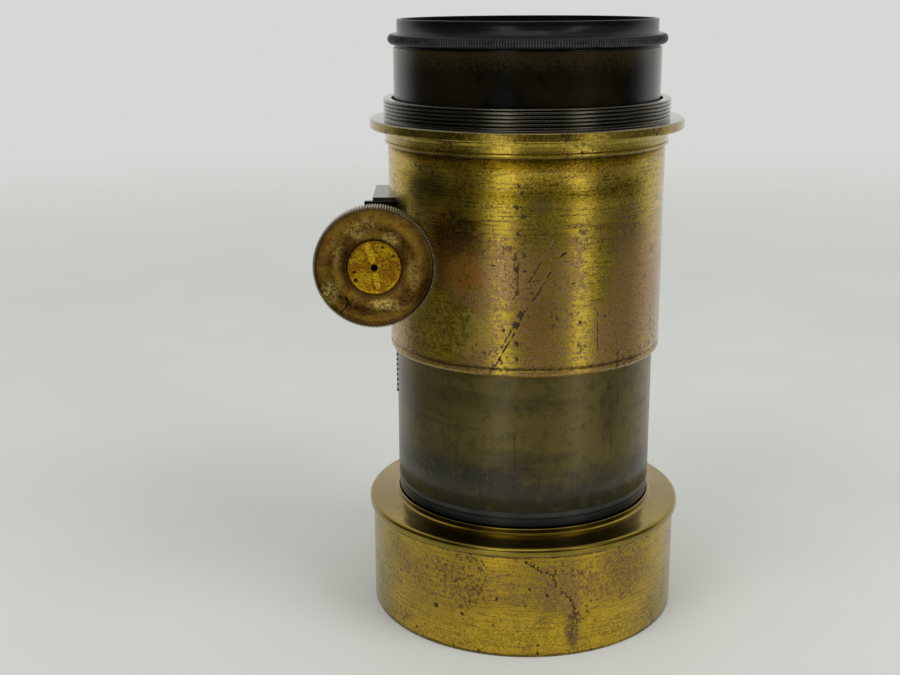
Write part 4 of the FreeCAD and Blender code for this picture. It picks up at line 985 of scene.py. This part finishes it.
LENS_R = 30.9
LENS_STEPS = 24
# CAD node: low z and top z on the axis, each with its radius of curvature.
# A positive radius bulges outwards, a negative one is hollow, 0 is flat.
LENSES = {
    "front_crown_lens": (19.50, 130.0, 30.48, 100.0),
    "front_flint_lens": (30.50, -100.0, 33.98, 0),
    "rear_flint_lens": (131.05, 220.0, 134.05, -75.0),
    "rear_crown_lens": (138.25, 90.0, 149.75, 160.0),
}


def sag(r, curve):
    if not curve:
        return 0.0
    return math.copysign(abs(curve) - math.sqrt(curve ** 2 - r * r), curve)


def lens_outline(low, low_curve, top, top_curve):
    radii = [LENS_R * k / LENS_STEPS for k in range(LENS_STEPS + 1)]
    return ([(r, low + sag(r, low_curve)) for r in radii]
            + [(r, top - sag(r, top_curve)) for r in reversed(radii)])


for node_name, spec in LENSES.items():
    lens = turn(node_name + "_glass", lens_outline(*spec), 160)
    for poly in lens.data.polygons:
        corners = [lens.data.vertices[v].co for v in poly.vertices]
        if min(math.hypot(co.x, co.y) for co in corners) > (LENS_R - 0.05) * MM:
            poly.use_smooth = False  # the ground edge stays crisp
    finish_piece(lens, "lens_tube", glass_mat, "lens_glass", node_name)

RETAINING_RING = [(29.00, 20.2, 0.2), (30.95, 20.2, 0.15), (30.95, 22.7, 0.1),
                  (29.0, 22.7, 0.1)]
SPACER_RING = [(29.6, 140.75, 0.1), (30.9, 140.75, 0.05), (30.9, 143.2, 0.05),
               (29.6, 143.2, 0.1)]
for node_name, ring in (("front_retaining_ring", RETAINING_RING),
                        ("rear_spacer_ring", SPACER_RING)):
    finish_piece(turn(node_name + "_turned", rounded(ring), 240),
                 "lens_tube", black_mat, "black_lacquer", node_name)

# ------------------------------------------------------------------ draw tube
SLOT_HALF_WIDTH = 2.53  # slot for the rack, on the -X side
SLOT_LOW, SLOT_TOP = 59.57, 119.63
SLOT_ANGLE = math.asin(SLOT_HALF_WIDTH / TUBE_R)
TUBE_STATIONS = [44.0, 52.0, SLOT_LOW, 74.0, 90.0, 106.0, SLOT_TOP, 130.0, 142.0]


def parallel_slot(radius, z, angle):
    """Keep the slot's sides parallel through the wall."""
    angle = angle.copy()
    for side in (-1, 1):
        at = math.pi + side * SLOT_ANGLE
        col = int(np.argmin(np.abs(angle[0] - at)))
        angle[:, col] = math.pi + side * np.arcsin(SLOT_HALF_WIDTH / radius[:, col])
    return radius, angle


# (r, z): up the outside, over the top rim, down the bore
tube_outline = (
    [(TUBE_R, 36.9)] + [(TUBE_R, z) for z in TUBE_STATIONS]
    + [(TUBE_R, 151.30), (34.41, 151.40), (34.34, 151.46), (32.70, 151.46),
       (TUBE_BORE, 151.38)]
    + [(TUBE_BORE, z) for z in reversed(TUBE_STATIONS)]
    + [(TUBE_BORE, 36.92), (32.70, 36.84), (34.36, 36.84)])
slot_sides = (math.pi - SLOT_ANGLE, math.pi + SLOT_ANGLE)
finish_piece(turn("draw_tube_barrel", tube_outline, 360, shape=parallel_slot,
                  edges=slot_sides, hole=(SLOT_LOW, SLOT_TOP, *slot_sides)),
             "lens_tube", tube_mat, "lacquered_brass", "drawtube")

# ------------------------------------------------------------------ rear cell
BEAD_CENTRE_R, BEAD_Z, BEAD_SIZE = 34.42, 153.425, 1.40
BEAD_STEPS = 16
KNURL_DEPTH = 0.20


def bead_knurl(radius, z, angle):
    outer = smooth(ramp_up(radius, 34.9, 0.5))
    wave = 0.5 - 0.5 * np.cos(BEAD_TEETH * angle)
    return radius - KNURL_DEPTH * outer * wave, angle


bead = []
for k in range(BEAD_STEPS + 1):
    bend = -math.pi / 2 + math.pi * k / BEAD_STEPS
    bead.append((BEAD_CENTRE_R + BEAD_SIZE * math.cos(bend),
                 BEAD_Z + BEAD_SIZE * math.sin(bend), 0.0))

# knurled bead with the plain rim above it
rear_cell = (
    [(29.50, 130.0, 0.2), (32.55, 130.0, 0.2), (32.55, 151.46, 0.0), (33.90, 151.46, 0.05),
     (33.90, 152.02, 0.0)] + bead
    + [(33.46, 154.83, 0.0), (33.46, 158.40, 0.25), (32.70, 158.40, 0.18),
       (32.70, 156.20, 0.1), (31.00, 155.40, 0.1), (31.00, 133.0, 0.0), (29.50, 133.0, 0.1)])
finish_piece(turn("rear_cell_turned", rounded(rear_cell), BEAD_TEETH * 4, shape=bead_knurl),
             "lens_tube", black_mat, "black_lacquer", "rear_cell", "rear_cell_rim")

# ------------------------------------------------------------------ sleeve
# A keyway runs down the bore on the -X side, with a window for the pinion.
KEY_HALF_WIDTH, KEY_FLOOR = 3.30, 34.95
KEY_FLOOR_ANGLE = math.atan2(KEY_HALF_WIDTH, KEY_FLOOR)
KEY_BORE_ANGLE = math.asin(KEY_HALF_WIDTH / SLEEVE_BORE)
WINDOW_HALF_WIDTH, WINDOW_HALF_HEIGHT = 3.0, 5.20
WINDOW_ANGLE = math.asin(WINDOW_HALF_WIDTH / SLEEVE_R)
WINDOW_LOW, WINDOW_TOP = PIVOT_Z - WINDOW_HALF_HEIGHT, PIVOT_Z + WINDOW_HALF_HEIGHT
SLEEVE_STATIONS = [84.0, WINDOW_LOW, PIVOT_Z, WINDOW_TOP, 116.0, SLEEVE_TOP]
NECK_R, NECK_TOP = 35.55, 136.0


def keyway(radius, z, angle):
    """Cut the flat floor of the keyway into the bore."""
    off = np.abs(angle - math.pi)
    in_key = (radius < 35.0) & (off <= KEY_FLOOR_ANGLE + 1e-4)
    return np.where(in_key, KEY_FLOOR / np.cos(off), radius), angle


# rounded lower edge and a turned groove
SLEEVE_FOOT = [
    (SLEEVE_BORE, 73.37, 0.0), (34.80, 73.07, 0.1), (35.50, 73.07, 0.35),
    (SLEEVE_R, 73.75, 0.75), (SLEEVE_R, 74.72, 0.12), (35.68, 75.10, 0.10),
    (SLEEVE_R, 75.48, 0.12), (SLEEVE_R, SLEEVE_TOP, 0.0)]
foot = [(r, z) for r, z in rounded(SLEEVE_FOOT, 5) if r > 34.85 and z < SLEEVE_TOP - 0.1]
sleeve_outline = (
    [(SLEEVE_BORE, 73.37), (34.80, 73.10)] + foot
    + [(SLEEVE_R, z) for z in SLEEVE_STATIONS]
    + [(NECK_R, SLEEVE_TOP), (NECK_R, 131.0), (NECK_R, NECK_TOP), (SLEEVE_BORE, NECK_TOP)]
    + [(SLEEVE_BORE, z) for z in reversed(SLEEVE_STATIONS)])
window_sides = (math.pi - WINDOW_ANGLE, math.pi + WINDOW_ANGLE)
finish_piece(turn("sleeve_barrel", sleeve_outline, 480, shape=keyway,
                  edges=(math.pi - KEY_BORE_ANGLE, math.pi + KEY_BORE_ANGLE, *window_sides),
                  hole=(WINDOW_LOW, WINDOW_TOP, *window_sides)),
             "sleeve", sleeve_mat, "sleeve_brass", "outer_sleeve")

# ------------------------------------------------------------------ threaded collar
THREAD_PITCH = 0.925
THREAD_LOW, THREAD_TOP = 133.62, 138.40
THREAD_DEPTH, CREST_FALL = 0.60, 0.07
CREST_SHARE = 0.52  # share of the half pitch taken by the crest


def thread(radius, z, angle):
    """Helical thread, fading in and out at its ends."""
    fade = np.clip((z - THREAD_LOW) / 0.25, 0, 1) * np.clip((THREAD_TOP - z) / 0.30, 0, 1)
    fade = np.where(radius > 37.0, fade, 0.0)
    phase = (z - 133.72) / THREAD_PITCH - angle / (2 * math.pi)
    off = np.abs(2 * (phase - np.floor(phase)) - 1.0)
    depth = np.where(off > CREST_SHARE, THREAD_DEPTH * ramp_up(off, CREST_SHARE, 0.28),
                     CREST_FALL * (off / CREST_SHARE) ** 2)
    return radius - fade * depth, angle


# neck and flange; the last point only guides the corner before it
COLLAR = [
    (35.60, SLEEVE_TOP, 0.0), (36.25, SLEEVE_TOP, 0.10), (36.32, 127.15, 0.1),
    (36.90, 127.42, 0.25), (36.98, 127.95, 0.25), (36.62, 128.20, 0.12), (36.72, 128.9, 0.4),
    (37.02, 129.9, 1.2), (37.40, 130.6, 0.5), (37.42, 131.16, 0.10), (40.60, 131.16, 0.18),
    (40.78, 131.5, 0.2), (40.78, 133.20, 0.25), (40.35, 133.54, 0.3), (37.25, 133.54, 0.0)]
THREAD_ROWS = [(37.23, 133.56 + 0.0579 * k) for k in range(1, 84)]
# (r, z) over the top and back down the bore
COLLAR_CAP = [(37.20, 138.50), (37.05, 138.62), (36.95, 138.67), (36.4, 138.67),
              (35.8, 138.67), (35.20, 138.67), (35.12, 138.62), (35.10, 138.50),
              (35.10, 136.05), (35.60, 136.05)]
collar_outline = (rounded(COLLAR, 5, 0.08)[:-1] + [(37.35, 133.54), (37.24, 133.56)]
                  + THREAD_ROWS + COLLAR_CAP)
finish_piece(turn("threaded_collar_turned", collar_outline, 420, shape=thread),
             "sleeve", collar_mat, "collar_brass", "threaded_collar", "collar_thread")

# ------------------------------------------------------------------ knob and hub pieces
# Turned about the pinion axis: z is the distance towards -Y.
KNOB_GROOVE = 0.36
DISH_IN, DISH_OUT = 6.95, 14.25
DISH_Z, DISH_DEPTH = 32.15, 1.15
DISH_SHARE = 0.92  # the dish ends here and a short slope rises to the rim
DISH_STEPS = 24


def knob_knurl(radius, z, angle):
    """Straight knurl on the rim."""
    outer = ramp_up(radius, 14.35, 0.30)
    turned = (angle * KNOB_TEETH / (2 * math.pi)) % 1.0
    crest = ramp_up(1.0 - np.abs(2 * turned - 1.0), 0.10, 0.45)
    return radius - KNOB_GROOVE * outer * (1 - smooth(crest)), angle


def dish_height(share):
    if share < DISH_SHARE:
        return DISH_Z - DISH_DEPTH * math.sin(math.pi * (share / DISH_SHARE)) ** 0.9
    return DISH_Z + (share - DISH_SHARE) * 2.0


dish = [(DISH_IN + (DISH_OUT - DISH_IN) * k / DISH_STEPS, dish_height(k / DISH_STEPS), 0.0)
        for k in range(DISH_STEPS + 1)]
knob_outline = (
    [(5.03, 27.90, 0.05), (5.03, 30.58, 0.0), (6.76, 30.58, 0.05), (6.78, 31.95, 0.12)]
    + dish
    + [(14.32, 32.75, 0.10), (14.40, 32.90, 0.10), (14.78, 32.90, 0.12),
       (KNOB_R, 32.70, 0.12), (KNOB_R, 31.5, 0.0), (KNOB_R, 30.0, 0.0), (KNOB_R, 28.4, 0.12),
       (14.7, 28.10, 0.12), (14.2, 27.90, 0.15), (9.0, 27.90, 0.0)])
finish_piece(turn("focus_knob_turned", rounded(knob_outline, 3, 0.06), KNOB_TEETH * 8,
                  place=on_pinion, shape=knob_knurl),
             "pinion", knob_mat, "knob_brass", "focus_knob")

# hub: bright face in the middle of the knob, neck behind it
HUB = [
    (2.01, 13.10, 0.05), (2.01, 26.10, 0.0), (0.60, 26.20, 0.0), (0.55, 31.0, 0.0),
    (0.62, 32.55, 0.10), (0.85, 32.72, 0.10), (3.5, 32.82, 1.5), (6.0, 32.74, 0.8),
    (6.55, 32.58, 0.25), (6.70, 32.30, 0.2), (6.70, 30.60, 0.05), (5.0, 30.60, 0.0),
    (5.0, 27.90, 0.0), (4.0, 27.90, 0.15), (4.0, 20.2, 0.1), (3.75, 19.9, 0.1),
    (3.75, 14.6, 0.1), (4.0, 14.3, 0.1), (4.0, 13.4, 0.2), (3.7, 13.10, 0.15)]
finish_piece(turn("knob_hub_turned", rounded(HUB, 4, 0.08), 160, place=on_pinion),
             "pinion", hub_mat, "hub_brass", "knob_hub")

# ------------------------------------------------------------------ CAD pieces that stay
# CAD node, material, bevel width or None
KEPT = [
    ("rear_retaining_ring", black_mat, 0.10),
    ("pinion_saddle", housing_mat, 0.25),
    ("pinion_cover", housing_mat, 0.20),
    ("front_bearing_plate", plate_dark_mat, 0.18),
    ("rear_bearing_plate", plate_dark_mat, 0.18),
    ("saddle_screws", screw_mat, None),
    ("cover_screws", screw_mat, None),
    ("plate_screws", screw_mat, None),
    ("rack_screws", screw_mat, None),
    ("pinion_shaft", shaft_mat, None),
    ("knob_pin", shaft_mat, None),
    ("rack", rack_mat, None),
]


def dress(node_name, mat, bevel_width):
    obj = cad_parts[node_name]
    obj.data.materials.clear()
    obj.data.materials.append(mat)
    weld = obj.modifiers.new("weld", "WELD")
    weld.merge_threshold = 1e-6
    if bevel_width:
        bevel = obj.modifiers.new("bevel", "BEVEL")
        bevel.width = bevel_width * MM
        bevel.segments = 2
        bevel.limit_method = "ANGLE"
        bevel.angle_limit = math.radians(35)
        bevel.use_clamp_overlap = True
        bevel.harden_normals = True


for row in KEPT:
    dress(*row)

# ------------------------------------------------------------------ floor


def floor_material():
    """Pale floor. Reflections look past it once it is some way off, so that
    the metal mirrors the studio and not an endless white plane."""
    look = Look("floor_paper")
    big = look.noise(scale=0.012, detail=3.0, rough=0.5)
    smudge = look.noise(scale=0.03, detail=5.0, rough=0.6)
    look.color = look.mix(big.rise(0.3, 0.7), (0.672, 0.690, 0.655), (0.700, 0.716, 0.682))
    look.paint((0.56, 0.56, 0.53), by=smudge.rise(0.62, 0.75) * 0.10)
    mat = look.finish(rough=0.62, metal=0.0, specular=0.2)
    rays = look.node("ShaderNodeLightPath").outputs
    in_mirror = look.value(rays["Is Glossy Ray"]) * look.radius().rise(62.0, 230.0)
    in_view = look.value(rays["Is Camera Ray"]) * look.radius().rise(260.0, 1100.0)
    mixer = look.node("ShaderNodeMixShader")
    clear = look.node("ShaderNodeBsdfTransparent")
    look.put(mixer.inputs[0], in_mirror.math("MAXIMUM", in_view))
    look.put(mixer.inputs[1], look.bsdf.outputs[0])
    look.put(mixer.inputs[2], clear.outputs[0])
    look.put(look.out.inputs[0], mixer.outputs[0])
    return mat


FLOOR_RINGS = [0.05, 0.12, 0.25, 0.5, 1.0, 2.0, 4.0, 8.0]  # metres
FLOOR_SIDES = 96


def floor_disc():
    verts = [(0.0, 0.0, 0.0)]
    for r in FLOOR_RINGS:
        verts += [(r * math.cos(2 * math.pi * k / FLOOR_SIDES),
                   r * math.sin(2 * math.pi * k / FLOOR_SIDES), 0.0)
                  for k in range(FLOOR_SIDES)]
    faces = [(0, 1 + k, 1 + (k + 1) % FLOOR_SIDES) for k in range(FLOOR_SIDES)]
    for i in range(len(FLOOR_RINGS) - 1):
        ring, after = 1 + i * FLOOR_SIDES, 1 + (i + 1) * FLOOR_SIDES
        for j in range(FLOOR_SIDES):
            k = (j + 1) % FLOOR_SIDES
            faces.append((ring + j, after + j, after + k, ring + k))
    mesh = bpy.data.meshes.new("studio_floor")
    mesh.from_pydata(verts, [], faces)
    obj = bpy.data.objects.new("studio_floor", mesh)
    scene.collection.objects.link(obj)
    mesh.materials.append(floor_material())


floor_disc()

# ------------------------------------------------------------------ camera
CAMERA_TURN = math.radians(-4.0)  # camera and view turned about Z from the -Y axis
CAMERA_DISTANCE, CAMERA_HEIGHT = 341.79, 166.08
CAMERA_DOWN, CAMERA_YAW, CAMERA_ROLL = 0.2639, -0.0590, -0.0051  # radians


def add_camera():
    forward = Vector((math.sin(CAMERA_YAW) * math.cos(CAMERA_DOWN),
                      math.cos(CAMERA_YAW) * math.cos(CAMERA_DOWN), -math.sin(CAMERA_DOWN)))
    level = Vector((math.cos(CAMERA_YAW), -math.sin(CAMERA_YAW), 0.0))
    upright = level.cross(forward)
    right = level * math.cos(CAMERA_ROLL) + upright * math.sin(CAMERA_ROLL)
    up = upright * math.cos(CAMERA_ROLL) - level * math.sin(CAMERA_ROLL)
    turned = Matrix.Rotation(CAMERA_TURN, 3, "Z")
    spot = turned @ Vector((0.0, -CAMERA_DISTANCE * MM, CAMERA_HEIGHT * MM))
    basis = Matrix((turned @ right, turned @ up, -(turned @ forward))).transposed()
    data = bpy.data.cameras.new("camera")
    data.sensor_width = 36.0
    data.sensor_fit = "HORIZONTAL"
    data.lens = 51.8544
    data.clip_start = 0.01
    camera = bpy.data.objects.new("camera", data)
    scene.collection.objects.link(camera)
    camera.matrix_world = Matrix.Translation(spot) @ basis.to_4x4()
    scene.camera = camera


add_camera()

# ------------------------------------------------------------------ lights
SOFTBOX_AIM = Vector((0, 0, 0.08))  # metres
SOFTBOX_DISTANCE, SOFTBOX_SIZE = 1.2, 0.6


def softbox(name, azimuth, elevation, power, color):
    """Area light at an azimuth in degrees from the camera, positive to the right."""
    around, above = CAMERA_AZIMUTH + math.radians(azimuth), math.radians(elevation)
    toward = Vector((math.cos(around) * math.cos(above),
                     math.sin(around) * math.cos(above), math.sin(above)))
    spot = toward * SOFTBOX_DISTANCE + SOFTBOX_AIM
    data = bpy.data.lights.new(name, "AREA")
    data.shape = "RECTANGLE"
    data.size = data.size_y = SOFTBOX_SIZE
    data.energy = power
    data.color = color
    lamp = bpy.data.objects.new(name, data)
    scene.collection.objects.link(lamp)
    lamp.location = spot
    lamp.rotation_euler = (SOFTBOX_AIM - spot).to_track_quat("-Z", "Y").to_euler()
    lamp.visible_camera = False
    lamp.visible_glossy = False


softbox("soft_left", azimuth=-42, elevation=48, power=3.2, color=(0.98, 1.0, 0.98))
softbox("soft_right", azimuth=58, elevation=46, power=4.6, color=(1.0, 1.0, 0.98))

# ------------------------------------------------------------------ world
# The studio seen by reflections, as (degrees from the camera, brightness): two
# tall bright panels, a dark room between them, pale behind.
PANORAMA = [
    (-180, 0.80), (-150, 0.78), (-128, 0.72), (-116, 0.40), (-106, 0.13), (-85, 0.10),
    (-70, 0.10), (-58, 0.05), (-48, 0.05), (-40, 0.12), (-33, 0.28), (-27, 0.85),
    (-22, 1.50), (-15, 1.45), (-9, 0.50), (-4, 0.20), (4, 0.14), (22, 0.15), (34, 0.22),
    (40, 0.62), (45, 1.42), (51, 1.42), (57, 0.62), (64, 0.28), (80, 0.22), (98, 0.22),
    (108, 0.36), (122, 0.70), (145, 0.80), (180, 0.80)]


def panorama(graph, share):
    """Brightness round the horizon, from a share of the full turn."""
    node = graph.node("ShaderNodeValToRGB")
    stops = node.color_ramp.elements
    while len(stops) < len(PANORAMA):
        stops.new(0.5)
    for stop, (degrees, bright) in zip(stops, PANORAMA):
        stop.position = (degrees + 180.0) / 360.0
        stop.color = (bright, bright, bright, 1.0)
    graph.put(node.inputs[0], share)
    return graph.value(node.outputs[0])


def build_world():
    world = bpy.data.worlds.new("world")
    scene.world = world
    world.use_nodes = True
    world.cycles.sampling_method = "NONE"
    graph = Graph(world.node_tree, "Generated")
    out = graph.node("ShaderNodeOutputWorld")
    background = graph.node("ShaderNodeBackground")
    graph.put(out.inputs[0], background.outputs[0])
    z = graph.z
    azimuth = graph.around(1.0) / (2 * math.pi)  # in turns

    # what reflections see: panorama, dark band near the horizon, overhead panel
    room = panorama(graph, azimuth + 0.5)
    behind = abs(azimuth).rise(88.0 / 360.0, 118.0 / 360.0)
    band = z.rise(-0.13, -0.09) * z.fall(0.22, 0.42) * (1.0 - behind)
    room = graph.mix(band * 0.96, room, (0.012, 0.013, 0.016))
    room = graph.mix(z.rise(0.72, 0.95), room, (0.55, 0.55, 0.54))
    panel = (z.rise(0.72, 0.80) * z.fall(0.95, 0.99)
             * abs(azimuth + 0.02).fall(0.07, 0.14))
    room = graph.mix(panel, room, (1.25, 1.25, 1.22))
    room = graph.mix(1.0, room, (1.0, 0.985, 0.95), "MULTIPLY")

    # soft light for everything else, and a plain backdrop for the camera
    rays = graph.node("ShaderNodeLightPath").outputs
    soft = graph.mix(z.rise(-0.1, 1.0, kind="LINEAR"), (0.46, 0.47, 0.46),
                     (0.66, 0.67, 0.655))
    seen = graph.mix(graph.value(rays["Is Camera Ray"]), soft, (0.672, 0.684, 0.662))
    graph.put(background.inputs[0], graph.mix(graph.value(rays["Is Glossy Ray"]), seen, room))
    background.inputs[1].default_value = 1.0


build_world()

scene.view_settings.view_transform = "Standard"
scene.view_settings.look = "None"
scene.view_settings.exposure = 0.0

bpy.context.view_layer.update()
